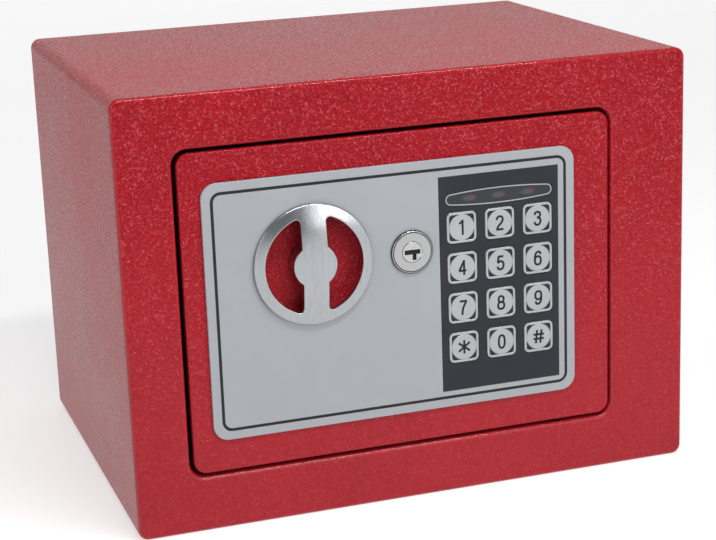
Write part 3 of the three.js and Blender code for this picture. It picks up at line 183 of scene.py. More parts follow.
def turnedRows(profile, x, z, segments=96):
    # profile points (radius, y) turned about the line along Y through x and z: x + r cos a, y, z + r sin a
    profile = np.asarray(profile, float)
    angle = np.linspace(0, 2 * np.pi, segments, endpoint=False)
    radius = profile[:, :1]
    y = np.broadcast_to(profile[:, 1:2], (len(profile), segments))
    return np.stack([x + radius * np.cos(angle), y, z + radius * np.sin(angle)], -1)


def cadBox(node):
    # a node's box in millimetres: left, right, bottom, top, front, back
    low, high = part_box(node)
    return [low.x / mm, high.x / mm, low.z / mm, high.z / mm, low.y / mm, high.y / mm]


def settle(piece, body, slotName, material, *nodes):
    # material, body and the nodes that a finished piece stands for; the slot name is not used
    piece.data.materials.clear()
    piece.data.materials.append(material)
    piece.modifiers.new("even shading", "WEIGHTED_NORMAL").keep_sharp = True
    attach(piece, body)
    if nodes:
        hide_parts(*nodes)


def carve(piece, cutter, operation="DIFFERENCE"):
    # cuts the piece with, or joins it to, another closed surface, which is used up
    change = piece.modifiers.new("carve", "BOOLEAN")
    change.operation = operation
    change.solver = "EXACT"
    change.object = cutter
    bpy.context.view_layer.update()
    shape = bpy.data.meshes.new_from_object(piece.evaluated_get(bpy.context.evaluated_depsgraph_get()))
    piece.modifiers.clear()
    piece.data = shaded(shape)
    shape.name = piece.name
    bpy.data.objects.remove(cutter)


def cut(piece, *cutters):
    for cutter in cutters:
        carve(piece, cutter)
    return piece


def joined(name, pieces, sharpAngle=40):
    # several closed surfaces as one object
    work = bmesh.new()
    for piece in pieces:
        work.from_mesh(piece.data)
        bpy.data.objects.remove(piece)
    mesh = bpy.data.meshes.new(name)
    work.to_mesh(mesh)
    work.free()
    return placed(name, shaded(mesh, sharpAngle))


# helpers for shader nodes
class wire:
    # a node's output, on which sums make maths nodes
    def __init__(self, socket):
        self.socket, self.tree = socket, socket.id_data

    __add__ = __radd__ = lambda self, other: maths("ADD", self, other)
    __mul__ = __rmul__ = lambda self, other: maths("MULTIPLY", self, other)
    __sub__ = lambda self, other: maths("SUBTRACT", self, other)
    __rsub__ = lambda self, other: maths("SUBTRACT", other, self)
    __truediv__ = lambda self, other: maths("DIVIDE", self, other)
    __rtruediv__ = lambda self, other: maths("DIVIDE", other, self)
    __gt__ = lambda self, other: maths("GREATER_THAN", self, other)
    __lt__ = lambda self, other: maths("LESS_THAN", self, other)


def put(socket, value):
    # links a wire or sets a plain value; a colour's three numbers get an alpha of 1
    if isinstance(value, wire):
        socket.id_data.links.new(value.socket, socket)
    else:
        socket.default_value = (*value, 1) if socket.type == "RGBA" else value


def addNode(tree, kind, inputs, **settings):
    # inputs go by name or number
    node = tree.nodes.new("ShaderNode" + kind)
    for key, value in settings.items():
        setattr(node, key, value)
    for key, value in inputs.items():
        put(node.inputs[key], value)
    return node


def maths(operation, *values, clamp=False):
    tree = next(value.tree for value in values if isinstance(value, wire))
    node = addNode(tree, "Math", dict(enumerate(values)), operation=operation, use_clamp=clamp)
    return wire(node.outputs[0])


def noise(vector, scale, detail=2.0, roughness=0.5, distortion=0.0):
    inputs = {"Vector": vector, "Scale": scale, "Detail": detail, "Roughness": roughness, "Distortion": distortion}
    return wire(addNode(vector.tree, "TexNoise", inputs).outputs["Fac"])


def ramp(value, low, high):
    # 0 at low, 1 at high, smooth between; low may be the greater
    inputs = {"Value": value, "From Min": low, "From Max": high}
    return wire(addNode(value.tree, "MapRange", inputs, interpolation_type="SMOOTHSTEP").outputs["Result"])


def mixColor(factor, a, b):
    # a where the factor is 0, b where it is 1; the factor or a is a wire
    tree = (a if isinstance(a, wire) else factor).tree
    return wire(addNode(tree, "Mix", {0: factor, 6: a, 7: b}, data_type="RGBA").outputs[2])


def scaled(vector, sizes):
    return wire(addNode(vector.tree, "VectorMath", {0: vector, 1: sizes}, operation="MULTIPLY").outputs[0])


def split(vector):
    return [wire(socket) for socket in addNode(vector.tree, "SeparateXYZ", {0: vector}).outputs]


def newMaterial(name, fixed, depth, look, *values):
    # constants go in by the names of the shader's sockets; the look, a function of the shader, the place on the piece
    # and the values, gives colour, roughness and height, and the depth of the relief is in metres
    material = bpy.data.materials.new(name)
    material.use_nodes = True
    tree = material.node_tree
    shader = tree.nodes["Principled BSDF"]
    for label, value in fixed.items():
        put(shader.inputs[label], value)
    color, rough, height = look(shader, wire(addNode(tree, "TexCoord", {}).outputs["Object"]), *values)
    put(shader.inputs["Base Color"], color)
    put(shader.inputs["Roughness"], rough)
    if height:
        bump = addNode(tree, "Bump", {"Height": height, "Distance": depth, "Strength": 1.0})
        put(shader.inputs["Normal"], wire(bump.outputs["Normal"]))
    return material


def newGroup(name, colors, values, surface):
    # a group: a vector, colours and values go in, a surface's colour, roughness and height come out
    group = bpy.data.node_groups.new(name, "ShaderNodeTree")
    kinds = {"Vector": "Vector", **dict.fromkeys(colors, "Color"), **dict.fromkeys(values, "Float")}
    for label, kind in kinds.items():
        socket = group.interface.new_socket(label, in_out="INPUT", socket_type="NodeSocket" + kind)
        if label in values:
            socket.default_value = values[label]
    for label, kind in {"Color": "Color", "Roughness": "Float", "Height": "Float"}.items():
        group.interface.new_socket(label, in_out="OUTPUT", socket_type="NodeSocket" + kind)
    entry, out = group.nodes.new("NodeGroupInput"), group.nodes.new("NodeGroupOutput")
    given = {socket.name: wire(socket) for socket in entry.outputs if socket.name}
    for socket, value in zip(out.inputs, surface(given)):
        put(socket, value)
    return group


def useGroup(group, inputs):
    # places a group and gives its colour, roughness and height
    node = addNode(inputs["Vector"].tree, "Group", inputs, node_tree=group)
    return [wire(socket) for socket in node.outputs]


black = (0, 0, 0)


def paintSurface(given):
    # shared effect, baked powder paint: smooth cells warped by noise make domes, finer noise makes ridges and orange
    # peel; crests get a painted highlight, valleys painted shade, and the tone drifts slowly
    vector, strength, color = given["Vector"], given["Strength"], given["Color"]
    density = 1.0 / given["Cell Size"]
    wander = addNode(vector.tree, "TexNoise", {"Vector": vector, "Scale": 500})
    warped = {0: wire(wander.outputs["Color"]), 1: (0.0011, 0.0011, 0.0011), 2: vector}
    warp = addNode(vector.tree, "VectorMath", warped, operation="MULTIPLY_ADD")
    smooth = {"Vector": wire(warp.outputs[0]), "Scale": density, "Smoothness": 0.7}
    cells = addNode(vector.tree, "TexVoronoi", smooth, feature="SMOOTH_F1")
    domes = 1.0 - wire(cells.outputs["Distance"])
    ridges = noise(vector, density * 0.9, 3.0, 0.55, 0.6)
    peel = noise(vector, density * 3.2, 1.0, 0.5)
    height = domes * 0.45 + ridges * 0.8 + (peel - 0.25) * 0.24
    relief = (height - 0.72) * strength
    tone = noise(vector, 9.0, 3.0, 0.6) * 0.7 + noise(vector, 60.0, 2.0, 0.5) * 0.3
    toneAndValleyShade = mixColor(ramp(tone, 0.3, 0.62), mixColor(given["Drift"] * 2.0, color, black), color)
    # painted shade: valleys darken to a blacker red
    toneAndValleyShade = mixColor(ramp(height, 0.68, 0.4) * 0.2 * strength, toneAndValleyShade, mixColor(0.45, color, black))
    # painted highlight: crests mix in the paler crest colour
    crestHighlights = ramp(height, 0.69, 0.98) * given["Crest Highlight Amount"] * strength
    rough = given["Roughness"] + (tone - 0.5) * 0.25 - relief * 0.7
    return mixColor(crestHighlights, toneAndValleyShade, given["Crest Highlight Color"]), rough, relief


def brushedSurface(given):
    # shared effect, brushed or ground metal: fine and broad streaks of noise, with slow smudges in the roughness
    vector, across = given["Vector"], given["Across"]
    streak = noise(vector, across, 3.0, 0.7) * 0.65 + noise(vector, across * 0.22, 2.0, 0.5) * 0.35
    marks = ramp(streak, 0.42, 0.62) * given["Amount"]
    uneven = (noise(vector, 55.0, 3.0, 0.6) - 0.5) * (given["Smudge"] * 4.0)
    rough = given["Roughness"] + uneven + (streak - 0.5) * 0.3
    return mixColor(marks, given["Color"], given["Streak Color"]), maths("MAXIMUM", rough, 0.04), streak


def mouldedSurface(given):
    # shared effect, moulded or printed surface: fine even grain, faint flow marks and specks of dust
    vector, wear = given["Vector"], given["Wear"]
    grain = noise(vector, 1.0 / given["Grain Size"], 2.0, 0.6)
    flow = noise(vector, 35.0, 4.0, 0.6, 0.8)
    specks = ramp(noise(vector, 900.0, 2.0, 0.7), 0.66, 0.74) * (wear * 0.8)
    worn = maths("MAXIMUM", ramp(flow, 0.42, 0.7) * wear, specks)
    amount = maths("ADD", worn, (grain - 0.5) * 0.25, clamp=True)
    rough = given["Roughness"] + (flow - 0.5) * 0.3
    return mixColor(amount, given["Color"], given["Worn Color"]), rough, grain


paintGroup = newGroup("wrinkled paint", ("Color", "Crest Highlight Color"), {"Cell Size": 0.0013, "Crest Highlight Amount": 0.5,
                      "Drift": 0.12, "Roughness": 0.4, "Strength": 1.0}, paintSurface)
brushGroup = newGroup("brushed grain", ("Color", "Streak Color"), {"Across": 6000.0, "Amount": 0.5,
                      "Roughness": 0.3, "Smudge": 0.1}, brushedSurface)
mouldedGroup = newGroup("moulded surface", ("Color", "Worn Color"), {"Grain Size": 0.0004, "Wear": 0.3,
                        "Roughness": 0.4}, mouldedSurface)


# how the outer paint changes, in metres: its wrinkles, with their painted crest highlights and valley shade, fade
# nearer the floor, where painted shade makes the red darker; they are stronger on the front face, and the rounded
# edges behind that face are smooth and glossy
wrinkle = {"low": 0.015, "high": 0.165, "least": 0.25, "dull": (0.315, 0.011, 0.018), "frontGain": 0.9,
           "frontFace": (-0.079, -0.083), "edgeFrom": (-0.08495, -0.0847), "edgeTo": (-0.0834, -0.0841),
           "edgeSmooth": 0.6, "coat": 0.08, "edgeCoat": 0.62}


def wrinkleAndPaintedLightStrength(shader, place, wrinkle):
    # strength is a rise with z, times a step on the front face, times a dip where y lies in the rounded edges; it
    # sets the relief and the painted crest highlights and valley shade with it
    x, y, z = split(place)
    edge = ramp(y, *wrinkle["edgeFrom"]) * ramp(y, *wrinkle["edgeTo"])
    put(shader.inputs["Coat Weight"], edge * wrinkle["edgeCoat"] + wrinkle["coat"])
    height = ramp(z, wrinkle["low"], wrinkle["high"])
    rise = height * (1 - wrinkle["least"]) + wrinkle["least"]
    gain = ramp(y, *wrinkle["frontFace"]) * wrinkle["frontGain"] + 1.0
    return rise * gain * (1.0 - edge * wrinkle["edgeSmooth"]), height


def paintLook(shader, place, color, crestHighlight, cell, crestHighlights, drift, roughness, wrinkle=None):
    strength = 1.0
    if wrinkle:
        strength, height = wrinkleAndPaintedLightStrength(shader, place, wrinkle)
        # painted shade: the red darkens to the dull colour nearer the floor
        color = mixColor(height, wrinkle["dull"], color)
    return useGroup(paintGroup, {"Vector": place, "Color": color, "Crest Highlight Color": crestHighlight, "Crest Highlight Amount": crestHighlights,
                                 "Cell Size": cell, "Drift": drift, "Roughness": roughness, "Strength": strength})


def metalLook(shader, place, color, streak, stretch, across, amount, roughness, smudge=0.1):
    return useGroup(brushGroup, {"Vector": scaled(place, stretch), "Color": color, "Streak Color": streak,
                                 "Across": across, "Amount": amount, "Roughness": roughness, "Smudge": smudge})


def mouldedLook(shader, place, color, worn, grain, wear, roughness):
    return useGroup(mouldedGroup, {"Vector": place, "Color": color, "Worn Color": worn, "Grain Size": grain,
                                   "Wear": wear, "Roughness": roughness})


# colour, painted crest highlight colour, cell size, share of painted crest highlights, drift of the tone, roughness
redPaint = newMaterial("red powder paint", {"IOR": 1.25, "Coat Roughness": 0.15, "Coat IOR": 1.4}, 0.001, paintLook,
                       (0.385, 0.002, 0.01), (0.6, 0.085, 0.105), 0.00095, 0.46, 0.08, 0.28, wrinkle)
coverPaint = newMaterial("inner cover paint", {"IOR": 1.45}, 0.0002, paintLook,
                         (0.028, 0.029, 0.031), (0.07, 0.07, 0.075), 0.0007, 0.35, 0.1, 0.42)
even, lengthways, acrossBar = (1, 1, 1), (1, 1, 0.02), (0.05, 1, 1)
# name: colour, streak colour, stretch, streaks in a metre, share of streaks, roughness, smudges
metals = {
    "brushed knob": ((0.4, 0.415, 0.435), (0.32, 0.33, 0.35), lengthways, 6500, 0.6, 0.19, 0.04),
    "bright lock face": ((0.42, 0.425, 0.43), (0.32, 0.325, 0.33), even, 2500, 0.3, 0.12, 0.06),
    "lock plug": ((0.5, 0.5, 0.49), (0.38, 0.375, 0.36), even, 2500, 0.4, 0.14),
    "bright steel": ((0.6, 0.61, 0.62), (0.48, 0.49, 0.5), acrossBar, 3000, 0.5, 0.25),
    "zinc steel": ((0.55, 0.56, 0.55), (0.44, 0.44, 0.42), even, 400, 0.6, 0.38, 0.15),
    # painted shade: the hinge steel is near black so that the hinge parts in the door's gap read as its shade
    "hinge steel darkened as shade": ((0.006, 0.005, 0.005), (0.004, 0.004, 0.004), even, 700, 0.6, 0.5, 0.2)}
(knobMetal, lockMetal, plugMetal, steelMetal, zincMetal,
 hingeShadeSteel) = [newMaterial(k, {"Metallic": 1.0}, 0.00001, metalLook, *v) for k, v in metals.items()]
# name: colour, worn colour, grain size, wear, roughness, constants of the shader
plastics = {
    "light grey plate": ((0.28, 0.292, 0.312), (0.322, 0.334, 0.354), 0.0005, 0.3, 0.36, {}),
    "dark line print": ((0.008, 0.009, 0.012), (0.02, 0.02, 0.025), 0.0004, 0.3, 0.5, {"IOR": 1.35}),
    "slate keypad": ((0.0085, 0.0105, 0.016), (0.02, 0.023, 0.03), 0.00035, 0.3, 0.42, {"IOR": 1.38}),
    "silver key": ((0.34, 0.35, 0.365), (0.42, 0.43, 0.44), 0.0003, 0.3, 0.34, {"Metallic": 0.35}),
    "dark digit print and keyway shade": ((0.01, 0.01, 0.012), (0.02, 0.02, 0.022), 0.0003, 0.3, 0.55, {"IOR": 1.3}),
    "black plastic": ((0.018, 0.018, 0.02), (0.05, 0.05, 0.052), 0.0004, 0.25, 0.45, {}),
    "dark grey plastic": ((0.05, 0.053, 0.06), (0.09, 0.09, 0.1), 0.0004, 0.25, 0.45, {}),
    "red lamp": ((0.42, 0.01, 0.012), (0.5, 0.06, 0.06), 0.0003, 0.2, 0.12, {"Coat Weight": 0.5}),
    "red button": ((0.5, 0.012, 0.012), (0.6, 0.1, 0.1), 0.0004, 0.3, 0.35, {})}
(fasciaPaint, linePaint, keypadPaint, silverPaint, darkPrintAndShade, blackPlastic, darkPlastic, ledRed,
 resetRed) = [newMaterial(k, v[5], 0.00003, mouldedLook, *v[:5]) for k, v in plastics.items()]
print("materials made")


# body: one folded sheet with a window for the door
body = {"corner": 4, "wall": 1.5, "frontEdge": 1.7, "rearEdge": 1, "doorway": [-93.5, 82.6, 22, 149.2],
        "doorwayCorner": 6, "bend": 1.8, "flangeBack": -73}


def bodyShell(body):
    # closed profile of wall, rounded front edge, front face, bend and folded flange, carried round the rounded
    # rectangle: each row is the outer box or the doorway moved in or out, at its own y
    *outer, front, back = cadBox("body_shell")
    corner, wall, frontEdge, rearEdge, doorway, window, bend, flange = body.values()
    rows = [(i, corner - i, back - s) for i, s in roundOver(rearEdge, 4)]
    rows += [(i, corner - i, front + s) for i, s in reversed(roundOver(frontEdge, 8))]
    entries = stepped(outer, rows + [(frontEdge + 0.3, 1.2, front)])
    rows = [(-bend - 0.2, window + bend, front)] + [(-i, window + i, front + s) for i, s in roundOver(bend, 8)]
    rows += [(0, window, front + bend + 0.2), (0, window, flange), (-wall, window + wall, flange)]
    entries += stepped(doorway, rows + [(-wall, window + wall, front + wall)])
    entries += stepped(outer, [(wall, corner - wall, front + wall), (wall, corner - wall, back)])
    return gridObject("body", rowsOf(entries), closedRows=True)


def slab(name, box, corner, front, back, edge=0.4, backEdge=0.2, steps=5, columns=None):
    # plate with rounded corners and rounded edges: rows of rounded rectangles from the front face to the back
    rows = [(edge + 0.15, edge, front)] + [(i, i, front + s) for i, s in roundOver(edge, steps)]
    rows += [(i, i, back - s) for i, s in reversed(roundOver(backEdge, 3))] + [(backEdge + 0.15, backEdge, back)]
    entries = stepped(box, [(amount, max(corner - taken, 0.05), y) for amount, taken, y in rows])
    return gridObject(name, rowsOf(entries, columns), capEnds=True)


def turnedPiece(name, profile, x, z, segments=96):
    # profile of (radius, y) turned about a line along Y; its first and last points are closed with flat faces
    return gridObject(name, turnedRows(profile, x, z, segments), capEnds=True)


def plug(x, z, radius, y0, y1, segments=96):
    # cutter: a circle carried from y0 to y1
    return turnedPiece("cutter", [(radius, y0), (radius, y1)], x, z, segments)


def boxCutter(box, corner, y0, y1):
    # cutter: a rounded rectangle carried from y0 to y1
    return gridObject("cutter", rowsOf([(box, corner, y0), (box, corner, y1)]), capEnds=True)


settle(bodyShell(body), "safe_body", "red_powder_coat", redPaint, "body_shell")

# rear panel, grown by the play round it, with its two anchor holes
rear = {"play": 0.27, "corner": 2.2, "edge": 0.2, "rearEdge": 0.4, "anchorX": (-55, 55), "anchorZ": 85, "anchor": 4.5}
*panelBox, panelFront, panelBack = cadBox("back_panel")
panel = slab("rear_panel", inset(panelBox, -rear["play"]), rear["corner"], panelFront, panelBack, rear["edge"],
             rear["rearEdge"])
cut(panel, *[plug(x, rear["anchorZ"], rear["anchor"], panelFront - 1, panelBack + 5) for x in rear["anchorX"]])
settle(panel, "safe_body", "red_powder_coat", redPaint, "back_panel")
print("body made")


# door: plate with a pressed round recess, and the printed plate on it
door = {"corner": 5, "edge": 0.9, "backEdge": 0.15, "front": -85, "back": -82, "knobX": -41.8, "lockX": -2.2,
        "controlsZ": 101.1, "mouth": 21.3, "floor": 20, "floorY": -81, "floorRound": 2, "lip": 0.7, "sheet": 2.4,
        "spindleHole": 4.3, "lockHole": 7.9, "keyWindow": [11.3, 57.3, 53, 123.2],
        "posts": ((-76, 40.5), (-76, 131), (71.5, 40.5), (71.5, 131)), "guides": ((-61, 53.6), (-61, 117.6))}
front, through = door["front"], (-90, -80)  # cutters run through the door plate between these two depths
knobPlace, lockPlace = (door["knobX"], door["controlsZ"]), (door["lockX"], door["controlsZ"])


def recessCutter(door):
    # turned hollow: floor, rounded foot, slightly sloping wall and rounded lip
    profile = [(0.5, door["floorY"])]
    profile += [(door["floor"] - i, door["floorY"] - s) for i, s in roundOver(door["floorRound"])]
    profile += [(door["mouth"] + i, front + s) for i, s in reversed(roundOver(door["lip"], 5))]
    return turnedPiece("cutter", profile + [(door["mouth"] + door["lip"], front - 1)], *knobPlace, 128)


def doorPlate(door):
    # rounded plate joined with the turned cup, less the hollow, the holes and the keypad window
    outer, floorY = door["mouth"] + door["sheet"], door["floorY"]
    cup = [(outer, front + 1.5), (outer, door["back"] + 0.6), (outer - 2.2, floorY + 1.4),
           (outer - 3.2, floorY + 2.2), (outer - 4.6, floorY + 2.4)]
    plate = slab("door", cadBox("door_plate")[:4], door["corner"], front, door["back"], door["edge"],
                 door["backEdge"], 6)
    carve(plate, turnedPiece("cup", cup, *knobPlace, 128), "UNION")
    return cut(plate, recessCutter(door), plug(*knobPlace, door["spindleHole"], through[0], -70, 64),
               boxCutter(door["keyWindow"], 1, *through), plug(*lockPlace, door["lockHole"], *through))


# cover posts and shouldered guides of the bolt carriage, as profiles of radius and y
post = [(3, -82.3), (3, -54.8), (1.95, -54.8), (1.95, -62)]
guide = [(4.5, -82.3), (4.5, -72.8), (2.5, -72.8), (2.5, -70.2), (4.5, -70.2), (4.2, -69.2)]
parts = [doorPlate(door)] + [turnedPiece("post", post, *place, 32) for place in door["posts"]]
parts += [turnedPiece("guide", guide, *place, 32) for place in door["guides"]]
settle(joined("door_panel", parts), "door", "red_powder_coat", redPaint, "door_plate")
print("door plate made")


# printed plate with its border line, round a knob hole, a lock hole and a keypad opening
fascia = {"box": [-83.8, 66.2, 36, 136], "corner": 6, "front": -86.0, "back": -85.1, "edge": 0.35, "lineInset": 4,
          "lineWidth": 1.18, "lineCorner": 4, "lineDepth": 0.12, "knobHole": 21.65,
          "keypad": [9.3, 59.3, 42.5, 128.9]}


def fasciaPlate(fascia):
    # rounded plate whose front rows step down into a shallow line groove and up again
    box, corner, y0, back, edge, middle, width, radius, depth = list(fascia.values())[:9]
    outer, inner, innerRadius = middle - width / 2, middle + width / 2, radius - width
    rows = [(30, 1, y0), (inner + 0.3, innerRadius, y0), (inner, innerRadius, y0), (inner, innerRadius, y0 + depth)]
    rows += [(outer, radius, y0 + depth), (outer, radius, y0), (outer - 0.3, radius, y0)]
    rows += [(edge + 0.15, corner - edge, y0)] + [(i, corner - i, y0 + s) for i, s in roundOver(edge, 5)]
    return gridObject("fascia_plate", rowsOf(stepped(box, rows + [(0, corner, back)])), capEnds=True)


plate = cut(fasciaPlate(fascia), plug(*knobPlace, fascia["knobHole"], *through, 128),
            plug(*lockPlace, door["lockHole"], *through), boxCutter(fascia["keypad"], 0.1, *through))
settle(plate, "door", "silver_plastic", fasciaPaint, "fascia")

# the line itself, a ring with its face just under the plate's
half, box = fascia["lineWidth"] / 2, fascia["box"]
outer, inner = (inset(box, fascia["lineInset"] + grown) for grown in (0.02 - half, half - 0.02))
ring = [(outer, 4, 0.015), (outer, 4, 0.2), (inner, 3.1, 0.2), (inner, 3.1, 0.015)]
line = gridObject("fascia_line", rowsOf([(side, r, fascia["front"] + y) for side, r, y in ring]), closedRows=True)
settle(line, "door", "dark_plastic", linePaint)
print("fascia made")


# keypad: overlay with windows, twelve keys, their digits and the lens
keypad = {"x": 34.3, "top": 128.9, "pitchX": 15.9, "pitchZ": 16.1, "firstRow": 20.5, "key": 12.2, "corner": 2.1,
          "rim": 0.95, "disc": 5.2, "proud": 0.012, "pocket": 0.3, "play": 0.3, "front": -86.6, "edge": 0.22,
          "flange": 0.7, "flangeFront": -84.75, "flangeBack": -84.15, "markHeight": 6.0, "stroke": 0.86,
          "pocketCorner": 1.1, "overlayFront": -86.15, "overlayBack": -85.05, "overlayCorner": 0.35,
          "overlayEdge": 0.12, "overlayRear": 0.05}
keyNames = ["1", "2", "3", "4", "5", "6", "7", "8", "9", "star", "0", "hash"]
keyPlaces = [(name, keypad["x"] + (k % 3 - 1) * keypad["pitchX"],
              keypad["top"] - keypad["firstRow"] - k // 3 * keypad["pitchZ"]) for k, name in enumerate(keyNames)]
lensShape = {"x": 34.3, "z": 119.6, "end": 2.3, "half": 20, "bulge": 1.0, "back": -85.3, "line": 0.42,
             "pitch": 12.1, "grey": (-0.4, 3.4, 1.5), "red": (1.2, 1.9, 1.5)}  # spots: middle and half sizes


def lensRows(shape, rows):
    # round ends joined by long sides that bulge as a parabola: z = end + bulge (1 - (x / half)^2); each row is an
    # inset and a y
    side, turn, half = np.linspace(1, -1, 25)[1:-1], arc(-90, 90, 24), shape["half"]
    grid = []
    for amount, y in rows:
        end = shape["end"] - amount
        bend = end + shape["bulge"] * (1 - side ** 2)
        x = np.concatenate([half + end * np.cos(turn), half * side, -half - end * np.cos(turn), -half * side])
        z = np.concatenate([end * np.sin(turn), bend, end * np.sin(turn[::-1]), -bend])
        grid.append(atY(shape["x"] + x, y, shape["z"] + z))
    return np.stack(grid)


def lensLook(shader, place, shape):
    # dark smoked window; three soft grey patches, each with a dull red end, lie where the lamps are
    glass, rough, height = mouldedLook(shader, place, (0.01, 0.012, 0.017), (0.02, 0.023, 0.03), 0.00035, 0.3, 0.36)
    x, y, z = split(place)
    pitch = shape["pitch"] * mm
    across = x - (shape["x"] * mm - 1.5 * pitch)
    local = maths("MODULO", across, pitch) - pitch / 2
    rise = z - shape["z"] * mm
    inside = (across > 0.0) * (across < 3 * pitch)

    def spot(middle, halfWidth, halfHeight):
        # 1 in the middle of an ellipse in each of the three bays, 0 outside it
        u, v = (local - middle * mm) / (halfWidth * mm), rise / (halfHeight * mm)
        return ramp(u * u + v * v, 1.0, 0.1) * inside

    color = mixColor(spot(*shape["grey"]) * 0.5, glass, (0.075, 0.075, 0.08))
    return mixColor(spot(*shape["red"]) * 0.55, color, (0.095, 0.026, 0.036)), rough, height


overlay = slab("keypad_sheet", cadBox("keypad_overlay")[:4], keypad["overlayCorner"], keypad["overlayFront"],
               keypad["overlayBack"], keypad["overlayEdge"], keypad["overlayRear"], 3)
window = keypad["key"] / 2 + keypad["play"]
cut(overlay, *[boxCutter(around(x, z, window, window), keypad["corner"] + keypad["play"], *through)
               for name, x, z in keyPlaces],
    gridObject("cutter", lensRows(lensShape, [(0, y) for y in through]), capEnds=True))
settle(overlay, "door", "dark_plastic", keypadPaint, "keypad_overlay")


def keyCap(name, x, z, keypad):
    # rounded square rows: pocket floor, rim inside, rim top, rounded rim, wall and flange; the disc is turned
    y0, edge, corner, inner, disc = (keypad[key] for key in ("front", "edge", "corner", "rim", "disc"))
    half, innerCorner, flange = keypad["key"] / 2, max(corner - inner, 0.3), keypad["flange"]
    floor, discY = y0 + keypad["pocket"], y0 - keypad["proud"]
    rows = [(2, 0.3, floor), (inner + 0.02, innerCorner, floor), (inner, innerCorner, floor - 0.03)]
    rows += [(inner, innerCorner, y0 + 0.06), (inner - 0.06, innerCorner + 0.06, y0)]
    rows += [(edge + 0.05, corner - edge, y0)] + [(i, corner - i, y0 + s) for i, s in roundOver(edge, 4)]
    rows += [(0, corner, keypad["flangeFront"])]
    rows += [(-flange, corner, keypad[y]) for y in ("flangeFront", "flangeBack")]
    entries = stepped(around(x, z, half, half), rows)
    cap = gridObject("cap", rowsOf(entries, edgeColumns(6, (0.01, 0.99))), capEnds=True)
    profile = [(disc - 0.35, discY)] + [(disc - i, discY + s) for i, s in roundOver(0.16, 3)]
    return joined(name, [cap, turnedPiece("disc", profile + [(disc, floor + 0.1)], x, z, 56)])


# marks of the keys: centre lines in a box one unit high, each a list of points, joined by a smooth curve
marks = {
    "1": [[(0.06, -0.5), (0.06, 0.5)], [(0.04, 0.45), (-0.03, 0.34), (-0.18, 0.26)]],
    "2": [[(-0.21, 0.2), (-0.18, 0.36), (-0.03, 0.435), (0.12, 0.4), (0.2, 0.27), (0.17, 0.1), (0.04, -0.07),
           (-0.11, -0.22), (-0.2, -0.4)], [(-0.255, -0.4325), (0.245, -0.4325)]],
    "3": [[(-0.2, 0.24), (-0.15, 0.38), (0, 0.435), (0.14, 0.38), (0.185, 0.24), (0.13, 0.1), (-0.04, 0.045)],
          [(-0.04, 0.045), (0.13, 0.02), (0.215, -0.16), (0.15, -0.36), (0, -0.435), (-0.15, -0.38),
           (-0.215, -0.22)]],
    "4": [[(0.1, -0.5), (0.1, 0.5)], [(0.1, 0.45), (-0.22, -0.17)], [(-0.27, -0.2), (0.26, -0.2)]],
    "5": [[(-0.15, 0.4325), (0.21, 0.4325)], [(-0.125, 0.46), (-0.185, 0)],
          [(-0.19, 0), (-0.08, 0.09), (0.06, 0.1), (0.18, 0.01), (0.215, -0.16), (0.15, -0.36), (-0.02, -0.435),
           (-0.16, -0.37), (-0.215, -0.22)]],
    "6": [[(-0.21, -0.15), (-0.21, 0.08), (-0.14, 0.33), (0.02, 0.435), (0.15, 0.38), (0.195, 0.25)]],
    "7": [[(-0.25, 0.4325), (0.25, 0.4325)], [(0.215, 0.4), (0.08, 0.19), (-0.04, -0.12), (-0.085, -0.5)]],
    "star": [[(0, -0.46), (0, 0.46)], [(-0.39, -0.29), (0.39, 0.29)], [(-0.39, 0.29), (0.39, -0.29)]],
    "hash": [[(-0.21, -0.46), (-0.11, 0.46)], [(0.11, -0.46), (0.21, 0.46)], [(-0.37, 0.15), (0.38, 0.15)],
             [(-0.38, -0.15), (0.37, -0.15)]]}
# loops of the keys, each a middle and two half sizes
loops = {"0": [(0, 0, 0.21, 0.4325)], "6": [(0, -0.155, 0.21, 0.275)],
         "8": [(0, 0.225, 0.175, 0.2075), (0, -0.195, 0.215, 0.2375)]}
marks["9"] = [[(-x, -z) for x, z in path] for path in marks["6"]]
loops["9"] = [(-x, -z, rx, rz) for x, z, rx, rz in loops["6"]]


def smoothPath(points, steps=8):
    # curve through the points: between p1 and p2 it is the cubic whose slopes are (p2 - p0) / 2 and (p3 - p1) / 2
    p = np.asarray(points, float)
    if len(p) == 2:
        return p
    p = np.vstack([2 * p[0] - p[1], p, 2 * p[-1] - p[-2]])
    t = np.linspace(0, 1, steps, endpoint=False)[:, None, None]
    p0, p1, p2, p3 = p[:-3], p[1:-2], p[2:-1], p[3:]
    square, cube = 2 * p0 - 5 * p1 + 4 * p2 - p3, 3 * p1 - p0 - 3 * p2 + p3
    curve = 0.5 * (2 * p1 + (p2 - p0) * t + square * t ** 2 + cube * t ** 3)
    return np.vstack([curve.transpose(1, 0, 2).reshape(-1, 2), p[-2:-1]])


def strokeGrid(path, width, y0, y1, closed=False):
    # a flat bar carried along a path: each point moved half the width along the path's normal, at both depths
    ahead = np.roll(path, -1, 0) - np.roll(path, 1, 0) if closed else np.gradient(path, axis=0)
    ahead /= np.linalg.norm(ahead, axis=1)[:, None]
    side = np.column_stack([-ahead[:, 1], ahead[:, 0]]) * width / 2
    corners = [(path + side, y0), (path - side, y0), (path - side, y1), (path + side, y1)]
    return np.stack([atY(c[:, 0], y, c[:, 1]) for c, y in corners], 1)


